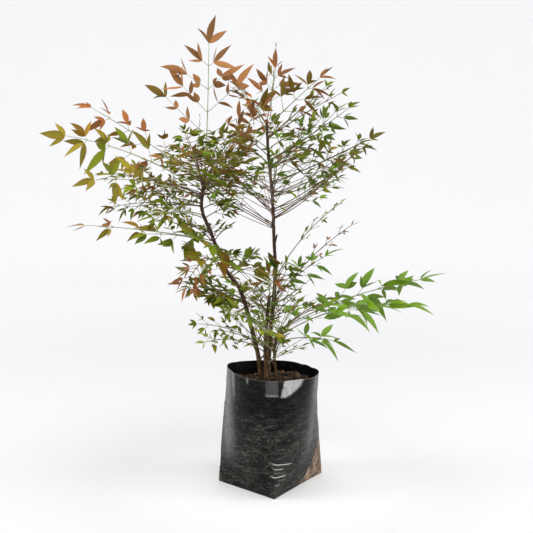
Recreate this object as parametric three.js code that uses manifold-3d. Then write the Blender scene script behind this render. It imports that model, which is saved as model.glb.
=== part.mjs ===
// Heavenly bamboo: a clump of four canes that carry compound leaves, in a
// soil-filled bag of black film.
//
// Millimetres, +Z up. The origin is the middle of the bag's flat underside,
// +X is the plant's right and +Y its back. A compound leaf is called a frond
// here: a rachis, opposite pairs of side stems, and leaflets on their ends.

import Module from "manifold-3d";
import * as THREE from "three";
import { mergeVertices } from "three/addons/utils/BufferGeometryUtils.js";

const wasm = await Module();
wasm.setup();

const gap = 0.3; // clear space between neighbouring pieces
const clearance = 0.8; // clear space between leaves of different fronds

const bag = {
  corners: [[112, 55], [-5, 110], [-120, 0], [2, -112]], // of the folded square foot
  mouthRadius: 100,
  rimHeight: 250,
  leftPeak: 8, // the film stands higher at the left
  rightDip: 3,
  wall: 1.2,
  levels: [0, 70, 150], // rings of the wall below the soil's surface
  sides: 24,
};
const soil = { top: 225, edge: 221, flatRadius: 0.7 };

// A cane's route is its centre line as [x, y, height]. It starts upright.
const canes = {
  left: {
    foot: 5,
    tip: 2.8,
    route: [[-27, -12, 240], [-33, -14, 290], [-47, -20, 349], [-71, -26, 433], [-95, -30, 466],
      [-114, -34, 510], [-133, -38, 558], [-149, -40, 602], [-147, -40, 645], [-142, -40, 680]],
  },
  right: {
    foot: 5,
    tip: 2.4,
    route: [[-10, 6, 240], [-6, 8, 330], [1, 11, 400], [5, 15, 466], [2, 20, 540],
      [0, 20, 600], [-5, 20, 665], [-12, 20, 745], [-14, 20, 792]],
  },
  middle: {
    foot: 6,
    tip: 3,
    route: [[-14, -22, 240], [-16, -20, 320], [-11, -20, 386], [-7, -20, 415]],
  },
  short: {
    foot: 3.4,
    tip: 2.4,
    route: [[6, -8, 240], [3, -8, 290], [8, -9, 325], [16, -10, 346]],
  },
};
const footFlare = 1.3; // a cane is this much thicker where it leaves the soil
const caneSides = 8;
const caneSteps = 12;
const rachisDepth = 0.6; // how far from a cane's middle a rachis starts, in tip radii
const stub = { cane: "right", height: 522, toward: 330, rise: 74, length: 24, foot: 2, tip: 1.6, sides: 6 };

// Fronds, from the top of each cane down. height: where the frond leaves its
// cane. toward: its direction from above, 0 = +X and 90 = +Y. rise: its slope
// there. bend: change of slope by the tip. bare: share of the rachis below the
// first side stems. spread: first side stem as a share of the length. pairs:
// side stems a side. leaf: leaflet length. roll: turn of the frond's plane.
const columns = [
  "height", "toward", "rise", "bend", "length", "bare", "spread", "pairs", "leaf", "roll", "tint"];
const fronds = {
  left: [
    [676, 335, 86, 3, 268, 0.3, 0.85, 4, 60, 45, "copper"],
    [669, 6, 54, -8, 195, 0.35, 0.5, 3, 46, 30, "copper"],
    [665, 301, 38, -5, 170, 0.25, 0.5, 3, 36, 15, "brown"],
    [659, 186, 38, -8, 275, 0.34, 0.25, 4, 40, 50, "copper"],
    [654, 103, 29, -8, 270, 0.3, 0.5, 3, 34, 10, "olive"],
    [650, 270, 24, -15, 245, 0.25, 0.5, 3, 34, 10, "brown"],
    [646, 47, 38, -10, 160, 0.3, 0.5, 3, 34, 10, "brown"],
    [644, 324, 19, -10, 140, 0.25, 0.5, 3, 30, 20, "olive"],
    [642, 202, 34, -25, 305, 0.4, 0.2, 4, 52, 70, "gold"],
    [633, 156, 20, -20, 250, 0.28, 0.45, 3, 28, 30, "olive"],
    [624, 216, 24, -28, 250, 0.6, 0.26, 2, 48, 62, "gold"],
    [610, 178, 10, -22, 195, 0.28, 0.45, 3, 28, 40, "green"],
    [591, 210, 19, -40, 115, 0.3, 0.38, 3, 32, 40, "lime"],
    [585, 0, 34, -20, 60, 0.4, 0.4, 2, 28, 40, "green"],
    [537, 196, 12, -8, 270, 0.55, 0.1, 2, 38, 30, "amber"],
    [529, 206, 21, -22, 155, 0.34, 0.34, 3, 44, 45, "lime"],
    [515, 255, 24, -20, 160, 0.3, 0.42, 3, 46, 30, "green"],
    [500, 232, 12, -75, 130, 0.4, 0.3, 3, 28, 30, "young"],
    [474, 257, 25, -24, 190, 0.35, 0.46, 3, 48, 20, "bronze"],
    [458, 293, 25, -20, 135, 0.35, 0.46, 3, 46, 20, "bronze"],
    [439, 107, 21, -25, 210, 0.3, 0.5, 3, 38, 20, "green"],
    [410, 202, 32, -35, 125, 0.3, 0.4, 3, 34, 30, "green"],
  ],
  right: [
    [788, 324, 74, 8, 115, 0.38, 0.55, 3, 46, 20, "copper"],
    [781, 237, 38, -5, 125, 0.4, 0.46, 3, 40, 30, "copper"],
    [775, 325, 39, -5, 165, 0.32, 0.34, 3, 50, 40, "copper"],
    [751, 14, 36, -10, 195, 0.35, 0.22, 3, 26, 30, "olive"],
    [731, 122, 22, 0, 125, 0.32, 0.45, 3, 34, 20, "amber"],
    [706, 344, 28, 8, 205, 0.35, 0.36, 4, 34, 40, "green"],
    [693, 301, 17, 5, 210, 0.35, 0.42, 3, 32, 30, "green"],
    [658, 341, 19, 8, 235, 0.42, 0.34, 4, 34, 40, "bronze"],
    [638, 78, 22, 5, 235, 0.38, 0.42, 3, 30, 20, "olive"],
    [628, 11, 18, 18, 225, 0.4, 0.32, 4, 28, 30, "olive"],
    [619, 268, 13, 10, 250, 0.38, 0.42, 3, 30, 20, "deep"],
    [600, 317, 21, 14, 250, 0.48, 0.32, 3, 28, 30, "olive"],
    [591, 125, 25, 8, 235, 0.42, 0.36, 3, 28, 20, "brown"],
    [582, 34, 24, 12, 225, 0.5, 0.32, 3, 26, 30, "brown"],
    [565, 150, 24, 4, 225, 0.52, 0.3, 3, 26, 20, "olive"],
    [449, 17, 62, -30, 225, 0.45, 0.22, 4, 20, 30, "pale"],
    [420, 283, 46, -20, 130, 0.35, 0.4, 3, 40, 40, "green"],
    [407, 343, 50, -20, 150, 0.5, 0.34, 2, 42, 50, "bright"],
    [393, 3, 58, -25, 245, 0.4, 0.2, 4, 20, 30, "young"],
  ],
  middle: [
    [412, 268, 56, -10, 75, 0.35, 0.5, 3, 36, 20, "copper"],
    [375, 118, 21, -20, 165, 0.35, 0.5, 3, 34, 20, "green"],
    [339, 242, 40, -35, 175, 0.35, 0.4, 3, 34, 30, "lime"],
    [324, 268, 33, -35, 190, 0.35, 0.5, 4, 30, 30, "lime"],
    [303, 206, 40, -35, 175, 0.5, 0.26, 3, 24, 30, "lime"],
    [294, 225, 35, -40, 185, 0.5, 0.26, 3, 24, 30, "pale"],
  ],
  short: [
    [343, 351, 31, -20, 320, 0.42, 0.36, 4, 68, 35, "bright"],
    [336, 50, 27, -30, 215, 0.35, 0.5, 3, 40, 20, "deep"],
    [330, 303, 39, -30, 245, 0.35, 0.45, 3, 50, 15, "bright"],
    [322, 332, 37, -38, 315, 0.42, 0.36, 4, 66, 20, "bright"],
    [312, 325, 24, -32, 150, 0.5, 0.22, 2, 50, 40, "bright"],
  ],
};

// Sizes of a frond's parts. A pair of numbers is the least and the spread of
// a size that varies from piece to piece.
const growth = {
  rachis: { foot: 1.7, tip: 1, steps: 5 }, // radii
  stem: { foot: 1.1, tip: 0.8, shortest: 8, bendsOver: 70 },
  reachShare: [0.86, 0.28], // of a side stem, and it shrinks by this power towards the tip:
  reachPower: 1.5,
  stemAngle: [45, 14], // degrees between rachis and side stem
  stemLift: [-0.125, 0.25], // out of the frond's plane
  stemTurn: 0.25, // how far a long stem turns back along the rachis
  stemSag: 0.12,
  sideLeafAngle: 50, // degrees between a stem and its side leaflets
  leafWander: [-10, 20],
  leafScatter: 0.9, // how freely leaflets face
  endLeafShare: [0.85, 0.3],
  sideLeafShare: [0.6, 0.25],
  oneSideLeafOver: 0.9, // a stem this many leaflets long has one side leaflet
  twoSideLeavesOver: 1.6,
  leafWidth: 0.36, // this and the next three are shares of the leaflet's length
  leafWidest: 0.42,
  leafRidge: 0.03,
  leafDroop: 0.1,
  leafRoot: 3, // how far before a stem's end its side leaflets start
  sprayLength: 22, // small leaflets stand for a spray, so they are drawn larger:
  sprayShare: 0.63, // this length, and this share of the leaflet's own
};

const finishes = {
  film: [0x101112, 0.3],
  soil: [0x5b3a28, 0.95],
  bark: [0x4a332c, 0.8],
  copper: [0xa8623a, 0.5],
  amber: [0xa57a45, 0.5],
  brown: [0x7b5236, 0.5],
  bronze: [0x8a6d2f, 0.5],
  gold: [0xb9a045, 0.5],
  lime: [0x9aa53c, 0.5],
  olive: [0x6d7039, 0.5],
  green: [0x4f7a30, 0.5],
  deep: [0x2f6127, 0.5],
  bright: [0x5f9a35, 0.5],
  young: [0xb8705a, 0.5],
  pale: [0x98a56c, 0.5],
};

// A number from 0 to 1 that depends only on the keys, so nothing is random.
function chance(...keys) {
  const weights = [12.9898, 78.233, 37.719, 9.157];
  const wave = Math.sin(keys.reduce((sum, key, i) => sum + key * weights[i], 0)) * 43758.5453;
  return wave - Math.floor(wave);
}

const vary = ([least, spread], ...keys) => least + spread * chance(...keys);
const radians = THREE.MathUtils.degToRad;
const up = new THREE.Vector3(0, 0, 1);
const frontward = new THREE.Vector3(0, -1, 0);

function heading(toward, rise) {
  const level = Math.cos(radians(rise));
  return new THREE.Vector3(
    Math.cos(radians(toward)) * level, Math.sin(radians(toward)) * level, Math.sin(radians(rise)));
}

// The part of a vector that is square to a direction, at unit length.
function squareTo(vector, direction) {
  return vector.clone().addScaledVector(direction, -vector.dot(direction)).normalize();
}

function turned(direction, side, degrees) {
  const angle = radians(degrees);
  return direction.clone().multiplyScalar(Math.cos(angle)).addScaledVector(side, Math.sin(angle));
}

// Point and direction at a share of the way along a list of points.
function along(path, share) {
  const place = share * (path.length - 1);
  const index = Math.min(Math.floor(place), path.length - 2);
  const point = path[index].clone().lerp(path[index + 1], place - index);
  return { point, direction: path[index + 1].clone().sub(path[index]).normalize() };
}

// --- Closed meshes ---------------------------------------------------------

// Joins rings of points into one closed skin. A ring of a single point closes
// that end to a tip, and a wider one is capped flat.
function loft(rings) {
  const points = [];
  const starts = rings.map((ring) => points.push(...ring) - ring.length);
  const triangles = [];
  for (let i = 1; i < rings.length; i++) {
    const [below, above] = [rings[i - 1].length, rings[i].length];
    const sides = Math.max(below, above);
    for (let k = 0; k < sides; k++) {
      const next = (k + 1) % sides;
      const [a, b] = [starts[i - 1], starts[i]];
      if (below > 1) triangles.push([a + k, a + next, b + (above > 1 ? k : 0)]);
      if (above > 1) triangles.push([a + (below > 1 ? next : 0), b + next, b + k]);
    }
  }
  const [first, last] = [rings[0], rings[rings.length - 1]];
  const end = starts[starts.length - 1];
  for (let k = 1; k < first.length - 1; k++) triangles.push([0, k + 1, k]);
  for (let k = 1; k < last.length - 1; k++) triangles.push([end, end + k, end + k + 1]);
  const geometry = new THREE.BufferGeometry().setFromPoints(points);
  geometry.setIndex(triangles.flat());
  return geometry;
}

// Rings round a list of points. The first corner of each looks towards steady.
function ringsAlong(path, radiusAt, sides, steady) {
  return path.map((centre, i) => {
    const before = path[Math.max(i - 1, 0)];
    const after = path[Math.min(i + 1, path.length - 1)];
    const direction = after.clone().sub(before).normalize();
    const across = squareTo(steady, direction);
    const aside = new THREE.Vector3().crossVectors(direction, across);
    const radius = radiusAt(i / (path.length - 1));
    return Array.from({ length: sides }, (_, k) => {
      const angle = (k / sides) * 2 * Math.PI;
      return centre.clone().addScaledVector(across, radius * Math.cos(angle))
        .addScaledVector(aside, radius * Math.sin(angle));
    });
  });
}

const taper = (foot, tip) => (share) => THREE.MathUtils.lerp(foot, tip, share);

// The widest ring and the tip of a leaflet: a ridge between two edges. It
// swells by extra all round.
function bladeRings({ base, direction, face, length }, extra) {
  const across = new THREE.Vector3().crossVectors(direction, face);
  const at = (forward, sideways, upward) => base.clone().addScaledVector(direction, forward)
    .addScaledVector(across, sideways).addScaledVector(face, upward);
  const middle = growth.leafWidest * length;
  const ridge = growth.leafRidge * length + extra;
  const width = growth.leafWidth * length / 2 + extra;
  return [
    [at(middle, 0, ridge), at(middle, width, -extra), at(middle, -width, -extra)],
    [at(length + extra, 0, -growth.leafDroop * length)]];
}

const looseLeaflet = (leaflet, extra) => loft([[leaflet.base], ...bladeRings(leaflet, extra)]);

// A three-sided stem that widens into the leaflet at its end.
function leafyStem({ path, leaflet, face, foot, tip }, extra) {
  const rings = ringsAlong(path, taper(foot + extra, tip + extra), 3, face);
  return loft([...rings, ...bladeRings(leaflet, extra)]);
}

// --- Joining and cutting ----------------------------------------------------

function solidOf(geometry) {
  const bare = geometry.clone();
  bare.deleteAttribute("normal");
  bare.deleteAttribute("uv");
  const merged = mergeVertices(bare, 1e-4);
  return new wasm.Manifold(new wasm.Mesh({
    numProp: 3,
    vertProperties: new Float32Array(merged.attributes.position.array),
    triVerts: new Uint32Array(merged.index.array),
  }));
}

function geometryFrom(solid) {
  const { vertProperties, triVerts } = solid.getMesh();
  const geometry = new THREE.BufferGeometry();
  geometry.setAttribute("position", new THREE.BufferAttribute(vertProperties, 3));
  geometry.setIndex(new THREE.BufferAttribute(triVerts, 1));
  return geometry;
}

// One body: loose scraps and sealed hollows come apart from it and are dropped.
function mainBody(solid) {
  return solid.decompose().reduce((a, b) => (b.volume() > a.volume() ? b : a));
}

// What stands already, as { box, solid, owner }.
const standing = [];

function boxOf(solid) {
  const { min, max } = solid.boundingBox();
  return new THREE.Box3(new THREE.Vector3(...min), new THREE.Vector3(...max));
}

function stand(solid, owner) {
  standing.push({ solid, owner, box: boxOf(solid) });
}

function touches(solid, friends) {
  const box = boxOf(solid);
  return standing.some((other) => !friends.includes(other.owner) && other.box.intersectsBox(box)
    && !solid.intersect(other.solid).isEmpty());
}

// --- Bag and soil -----------------------------------------------------------

// Moves a point of a round pot to the bag's wall: square at the foot and round
// at the mouth. Each quarter turn of the pot becomes one side of the square.
function intoBag(x, y, height) {
  const turn = ((Math.atan2(y, x) / (2 * Math.PI)) + 1) % 1 * 4;
  const side = Math.floor(turn + 1e-6) % 4;
  const share = Math.max(turn - side, 0);
  const [from, to] = [bag.corners[side], bag.corners[(side + 1) % 4]];
  const angleFrom = Math.atan2(from[1], from[0]);
  const angleTo = angleFrom + ((Math.atan2(to[1], to[0]) - angleFrom) + 2 * Math.PI) % (2 * Math.PI);
  const angle = THREE.MathUtils.lerp(angleFrom, angleTo, share);
  const scale = Math.hypot(x, y) / bag.mouthRadius;
  const square = new THREE.Vector2(...from).lerp(new THREE.Vector2(...to), share);
  const round = new THREE.Vector2(Math.cos(angle), Math.sin(angle)).multiplyScalar(bag.mouthRadius);
  return square.lerp(round, Math.min(height / bag.rimHeight, 1)).multiplyScalar(scale);
}

function rimLift(x, y) {
  const left = Math.max(0, -x / Math.hypot(x, y));
  return bag.leftPeak * left ** 4 - bag.rightDip * x / Math.hypot(x, y);
}

// Turns a profile of [radius, height] into the bag's shape.
function turnedPot(profile) {
  const points = profile.map(([radius, height]) => new THREE.Vector2(radius, height));
  const geometry = new THREE.LatheGeometry(points, bag.sides).rotateX(Math.PI / 2);
  const position = geometry.attributes.position;
  for (let i = 0; i < position.count; i++) {
    const [px, py, height] = [position.getX(i), position.getY(i), position.getZ(i)];
    if (Math.hypot(px, py) < 1e-3) continue;
    const { x, y } = intoBag(px, py, height);
    const lift = height >= bag.rimHeight ? rimLift(x, y) : 0;
    position.setXYZ(i, x, y, height + lift);
  }
  return geometry;
}

function bagGeometry() {
  const outer = bag.mouthRadius;
  const inner = outer - bag.wall;
  const heights = [...bag.levels, soil.edge, bag.rimHeight];
  const insideHeights = [bag.wall, ...heights.slice(1)].reverse();
  return turnedPot([
    [0, 0], ...heights.map((height) => [outer, height]),
    ...insideHeights.map((height) => [inner, height]), [0, bag.wall]]);
}

// Follows the bag's inside from the top down, with its faces turned outwards.
function soilGeometry() {
  const radius = bag.mouthRadius - bag.wall - 1.5 * gap;
  const floor = bag.wall + gap;
  const sideHeights = [floor, ...bag.levels.slice(1), soil.edge].reverse();
  const geometry = turnedPot([
    [0, soil.top], [radius * soil.flatRadius, soil.top],
    ...sideHeights.map((height) => [radius, height]), [0, floor]]);
  geometry.index.array.reverse();
  return geometry;
}

// --- Canes ------------------------------------------------------------------

function caneCurve(cane) {
  const [x, y] = cane.route[0];
  const foot = new THREE.Vector3(x, y, soil.top + gap);
  return new THREE.CatmullRomCurve3([foot, ...cane.route.map((place) => new THREE.Vector3(...place))]);
}

function caneRadius(cane) {
  return (share) => THREE.MathUtils.lerp(cane.foot, cane.tip, share) * (share === 0 ? footFlare : 1);
}

function caneGeometry(cane, extra = 0) {
  const path = caneCurve(cane).getPoints(caneSteps);
  path[path.length - 1].z += extra;
  const radius = caneRadius(cane);
  const geometry = loft(ringsAlong(path, (share) => radius(share) + extra, caneSides, frontward));
  const position = geometry.attributes.position;
  for (let k = 0; k < caneSides; k++) position.setZ(k, soil.top + gap);
  return geometry;
}

// Centre of a cane at a height, on the same straight steps as its mesh.
function caneCentre(cane, height) {
  const path = caneCurve(cane).getPoints(caneSteps);
  const above = path.findIndex((point) => point.z > height);
  const [from, to] = [path[above - 1], path[above]];
  return from.clone().lerp(to, (height - from.z) / (to.z - from.z));
}

function stubGeometry() {
  const foot = caneCentre(canes[stub.cane], stub.height);
  const tip = foot.clone().addScaledVector(heading(stub.toward, stub.rise), stub.length);
  const solid = solidOf(loft(ringsAlong([foot, tip], taper(stub.foot, stub.tip), stub.sides, frontward)));
  return geometryFrom(mainBody(solid.subtract(solidOf(caneGeometry(canes[stub.cane], gap)))));
}

// --- Fronds -----------------------------------------------------------------

function rachisPath(frond) {
  const cane = canes[frond.cane];
  const inside = rachisDepth * cane.tip * Math.cos(radians(frond.rise));
  const path = [caneCentre(cane, frond.height).addScaledVector(heading(frond.toward, 0), inside)];
  const { steps } = growth.rachis;
  for (let i = 0; i < steps; i++) {
    const direction = heading(frond.toward, frond.rise + frond.bend * (i + 0.5) / steps);
    path.push(path[i].clone().addScaledVector(direction, frond.length / steps));
  }
  return path;
}

// The frond's own side and face directions where its rachis runs this way.
function planeOf(frond, direction) {
  const level = new THREE.Vector3(Math.sin(radians(frond.toward)), -Math.cos(radians(frond.toward)), 0);
  const side = squareTo(level, direction);
  const face = new THREE.Vector3().crossVectors(side, direction);
  const roll = radians(frond.roll);
  return {
    side: side.clone().multiplyScalar(Math.cos(roll)).addScaledVector(face, Math.sin(roll)),
    face: face.clone().multiplyScalar(Math.cos(roll)).addScaledVector(side, -Math.sin(roll)),
  };
}

function stemPath(start, direction, rachisDirection, length) {
  const steps = length > growth.stem.bendsOver ? 2 : 1;
  const path = [start];
  for (let i = 0; i < steps; i++) {
    const share = i / steps;
    const step = direction.clone().lerp(rachisDirection, growth.stemTurn * share)
      .addScaledVector(up, -growth.stemSag * share).normalize();
    path.push(path[i].clone().addScaledVector(step, length / steps));
  }
  return path;
}

// The leaflet at a stem's end, or at one side of it (hand -1 or 1).
function leafletOn({ path, plane, keys, size }, hand) {
  const { point, direction } = along(path, 1);
  const side = squareTo(plane.side, direction);
  const angle = hand * growth.sideLeafAngle + vary(growth.leafWander, ...keys, 10 + hand);
  const forward = turned(direction, side, angle);
  const wander = new THREE.Vector3(...[1, 2, 3].map((axis) => chance(...keys, 60 + axis + 5 * hand) - 0.5));
  const facing = plane.face.clone().addScaledVector(wander, growth.leafScatter * (hand === 0 ? 1 : 2));
  const share = vary(hand === 0 ? growth.endLeafShare : growth.sideLeafShare, ...keys, 20 + hand);
  return {
    base: point.clone().addScaledVector(direction, hand === 0 ? 0 : -growth.leafRoot),
    direction: forward,
    face: squareTo(facing, forward),
    length: size * share,
  };
}

// A stem with the leaflet that ends it, and the side leaflets near its end.
function dress(stem, sideLeaflets) {
  const hands = [1, -1].slice(0, sideLeaflets);
  const beside = hands.map((hand) => leafletOn(stem, hand));
  return { ...stem, face: stem.plane.face, leaflet: leafletOn(stem, 0), beside };
}

function sideStem(frond, rachis, size, pair, hand) {
  const share = frond.bare + (1 - frond.bare) * pair / frond.pairs;
  const { point, direction } = along(rachis, share);
  const plane = planeOf(frond, direction);
  const keys = [frond.number, pair, hand];
  const fullReach = frond.spread * frond.length * (1 - share) ** growth.reachPower;
  const reach = fullReach * vary(growth.reachShare, ...keys, 1);
  const away = turned(direction, plane.side.clone().multiplyScalar(hand), vary(growth.stemAngle, ...keys, 2))
    .addScaledVector(plane.face, vary(growth.stemLift, ...keys, 3)).normalize();
  const path = stemPath(point, away, direction, Math.max(reach, growth.stem.shortest));
  const leafletsLong = reach / size;
  const sideLeaflets = (leafletsLong > growth.oneSideLeafOver) + (leafletsLong > growth.twoSideLeavesOver);
  return dress({ path, plane, keys, size, ...growth.stem }, sideLeaflets);
}

const endKey = 50; // stands for a pair's number at the rachis's end

// The frond as its rachis and its side stems, each with its leaflets.
function growFrond(frond) {
  const path = rachisPath(frond);
  const size = growth.sprayLength + growth.sprayShare * frond.leaf;
  const plane = planeOf(frond, along(path, 1).direction);
  const rachis = { path, plane, keys: [frond.number, endKey, 0], size, ...growth.rachis };
  const pairs = Array.from({ length: frond.pairs }, (_, pair) => pair);
  return {
    rachis: dress(rachis, 2),
    stems: pairs.flatMap((pair) => [-1, 1].map((hand) => sideStem(frond, path, size, pair, hand))),
  };
}

function listFronds() {
  return Object.entries(fronds).flatMap(([cane, rows]) => rows.map((row, i) => ({
    ...Object.fromEntries(columns.map((column, k) => [column, row[k]])),
    cane,
    name: `${cane}_frond_${String(i + 1).padStart(2, "0")}`,
  }))).map((frond, i) => ({ ...frond, number: i + 1 }));
}

// Adds a piece to a frond where it stays clear of everything but its friends.
function addClear(frond, make, friends = []) {
  if (touches(solidOf(make(clearance)), [frond.name, ...friends])) return false;
  const solid = solidOf(make(0));
  stand(solid, frond.name);
  frond.solids.push(solid);
  return true;
}

function plantFronds() {
  const all = listFronds().map((frond) => ({ ...frond, ...growFrond(frond), solids: [] }));
  for (const frond of all) {
    if (!addClear(frond, (extra) => leafyStem(frond.rachis, extra), [frond.cane])) {
      console.warn(`${frond.name} touches another limb`);
    }
  }
  for (const frond of all) {
    frond.stems = frond.stems.filter((stem) => addClear(frond, (extra) => leafyStem(stem, extra)));
  }
  for (const frond of all) {
    for (const { beside } of [frond.rachis, ...frond.stems]) {
      for (const leaflet of beside) addClear(frond, (extra) => looseLeaflet(leaflet, extra));
    }
  }
  return all;
}

function frondGeometry(frond) {
  const around = solidOf(caneGeometry(canes[frond.cane], gap));
  return geometryFrom(mainBody(wasm.Manifold.union(frond.solids).subtract(around)));
}

// --- The plant --------------------------------------------------------------

const plant = new THREE.Group();

function add(name, geometry, finish) {
  const [color, roughness] = finishes[finish];
  const mesh = new THREE.Mesh(geometry, new THREE.MeshStandardMaterial({ color, roughness }));
  mesh.name = name;
  plant.add(mesh);
}

add("bag", bagGeometry(), "film");
add("soil", soilGeometry(), "soil");
stand(solidOf(bagGeometry()), "bag");
for (const [name, cane] of Object.entries(canes)) {
  add(`${name}_cane`, caneGeometry(cane), "bark");
  stand(solidOf(caneGeometry(cane)), name);
}
add("broken_stub", stubGeometry(), "bark");
stand(solidOf(stubGeometry()), "broken_stub");
for (const frond of plantFronds()) add(frond.name, frondGeometry(frond), frond.tint);

export default plant;
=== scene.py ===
# Heavenly bamboo in a bag of black film: the looks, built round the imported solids.
# The plant grows in millimetres, by the same rule as its solids, and on to finer twigs.
import math
from itertools import product

import bmesh
import bpy
import numpy as np
from mathutils import Matrix, Vector, noise


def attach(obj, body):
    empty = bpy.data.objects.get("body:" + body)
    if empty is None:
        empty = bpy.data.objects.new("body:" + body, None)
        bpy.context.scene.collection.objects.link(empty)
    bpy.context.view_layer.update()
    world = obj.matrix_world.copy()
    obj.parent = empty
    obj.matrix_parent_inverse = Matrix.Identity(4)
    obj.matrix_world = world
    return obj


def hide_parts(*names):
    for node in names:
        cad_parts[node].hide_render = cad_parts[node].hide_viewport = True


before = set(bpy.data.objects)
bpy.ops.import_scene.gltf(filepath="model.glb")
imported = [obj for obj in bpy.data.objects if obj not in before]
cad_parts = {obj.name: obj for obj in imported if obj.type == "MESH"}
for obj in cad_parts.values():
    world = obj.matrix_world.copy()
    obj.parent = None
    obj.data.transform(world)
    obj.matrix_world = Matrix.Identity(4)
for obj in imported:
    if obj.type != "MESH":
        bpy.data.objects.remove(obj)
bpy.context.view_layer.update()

mm = 0.001
up = Vector((0, 0, 1))
frontward = Vector((0, -1, 0))
goldenAngle = 137.5


# Small tools

def chance(*keys):  # from 0 to 1, the same for the same keys; a last number tells draws apart
    weights = (12.9898, 78.233, 37.719, 9.157, 53.117, 24.631)
    wave = math.sin(sum(key * weight for key, weight in zip(keys, weights))) * 43758.5453
    return wave - math.floor(wave)


def vary(leastAndSpread, *keys):
    least, spread = leastAndSpread
    return least + spread * chance(*keys)


def mixed(a, b, share):
    return a + (b - a) * share


def smooth(value, low, high):
    share = np.clip((value - low) / (high - low), 0, 1)
    return share * share * (3 - 2 * share)


def hump(value, middle, width):
    return np.exp(-((value - middle) / width) ** 2)


def heading(toward, rise):
    level = math.cos(math.radians(rise))
    turn = math.radians(toward)
    return Vector((math.cos(turn) * level, math.sin(turn) * level, math.sin(math.radians(rise))))


def squareTo(vector, direction):  # the part of a vector that is square to a direction
    return (vector - direction * vector.dot(direction)).normalized()


def squarePair(direction):  # two directions that are square to this one and to each other
    across = squareTo(frontward if abs(direction.y) < 0.9 else up, direction)
    return across, direction.cross(across)


def turned(direction, side, degrees):
    angle = math.radians(degrees)
    return direction * math.cos(angle) + side * math.sin(angle)


def along(path, share):
    place = share * (len(path) - 1)
    index = min(int(place), len(path) - 2)
    return path[index].lerp(path[index + 1], place - index), (path[index + 1] - path[index]).normalized()


def walk(start, directions, length):  # a line with one equal step in each direction
    line = [start]
    for direction in directions:
        line.append(line[-1] + direction * length / len(directions))
    return line


def unevenness(places, seed):  # one noise value, about -1 to 1, for each place
    shift = Vector((seed * 17.3, seed * 5.1, seed * 9.7))
    return np.array([noise.noise(Vector(place) + shift) for place in places])


# Shader maths

class Value:  # a socket, on which Python's operators build Math nodes
    def __init__(self, finish, socket):
        self.finish, self.socket = finish, socket

    def maths(self, operation, first, second):
        return self.finish.node("Math", {"operation": operation}, {0: first, 1: second})

    def __add__(self, other):
        return self.maths("ADD", self, other)

    def __sub__(self, other):
        return self.maths("SUBTRACT", self, other)

    def __rsub__(self, other):
        return self.maths("SUBTRACT", other, self)

    def __mul__(self, other):
        return self.maths("MULTIPLY", self, other)

    __radd__, __rmul__ = __add__, __mul__


class Finish:
    def __init__(self, name, **settings):
        self.material = bpy.data.materials.new(name)
        self.material.use_nodes = True
        self.tree = self.material.node_tree
        self.surface = self.tree.nodes["Principled BSDF"]
        self.place = self.node("TexCoord", output="Object")
        for socket, value in settings.items():
            self.feed(self.surface.inputs[socket.replace("_", " ")], value)

    def feed(self, socket, value):
        if isinstance(value, Value):
            self.tree.links.new(value.socket, socket)
        else:
            socket.default_value = value

    def node(self, kind, settings=None, inputs=None, output=0):
        made = self.tree.nodes.new("ShaderNode" + kind)
        for key, value in (settings or {}).items():
            setattr(made, key, value)
        for key, value in (inputs or {}).items():
            self.feed(made.inputs[key], value)
        return Value(self, made.outputs[output])

    def grain(self, scale, detail=4, stretch=(1, 1, 1), harshness=0.55, distortion=0.0):
        place = self.node("Mapping", None, {"Vector": self.place, "Scale": stretch})
        return self.node("TexNoise", None, {"Vector": place, "Scale": scale, "Detail": detail,
                                            "Roughness": harshness, "Distortion": distortion})

    def patches(self, low, high, *grain):  # where a noise stands out
        return self.step(self.grain(*grain), low, high)

    def size(self, value):
        return self.node("Math", {"operation": "ABSOLUTE"}, {0: value})

    def creases(self, scale, stretch, width, distortion):  # thin lines where a noise crosses its middle
        apart = self.size(self.grain(scale, 3, stretch, 0.6, distortion) - 0.5)
        return self.step(apart, width, width * 0.3)

    def step(self, value, low, high):  # 0 below low, 1 above high
        return self.node("MapRange", {"interpolation_type": "SMOOTHSTEP"}, {
            "Value": value, "From Min": low, "From Max": high})

    def colour(self, first, second, factor):
        first, second = (tone if isinstance(tone, Value) else colourOf(*tone) for tone in (first, second))
        return self.node("Mix", {"data_type": "RGBA"}, {0: factor, 6: first, 7: second}, 2)

    def paint(self, colour, *layers):  # each layer is a tone and where it shows
        for tone, mask in layers:
            colour = self.colour(colour, tone, mask)
        self.feed(self.surface.inputs["Base Color"], colour)

    def relief(self, height, strength, distance):
        bump = self.node("Bump", None, {"Strength": strength, "Distance": distance, "Height": height})
        self.feed(self.surface.inputs["Normal"], bump)

    def axis(self, number):  # 0, 1 or 2, for one coordinate of the place
        return self.node("SeparateXYZ", None, {0: self.place}, number)

    def attribute(self, name):
        return self.node("Attribute", {"attribute_name": name}, None, "Fac")


def colourOf(red, green, blue, shade=1.0):  # 0 to 255 as on a screen, to the shader's own scale
    levels = [min(level * shade, 255) / 255 for level in (red, green, blue)]
    linear = [((level + 0.055) / 1.055) ** 2.4 if level > 0.04045 else level / 12.92 for level in levels]
    return (*linear, 1)


# Modelling helpers

def deselectAll():
    if bpy.context.mode != "OBJECT":
        bpy.ops.object.mode_set(mode="OBJECT")
    bpy.ops.object.select_all(action="DESELECT")


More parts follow.
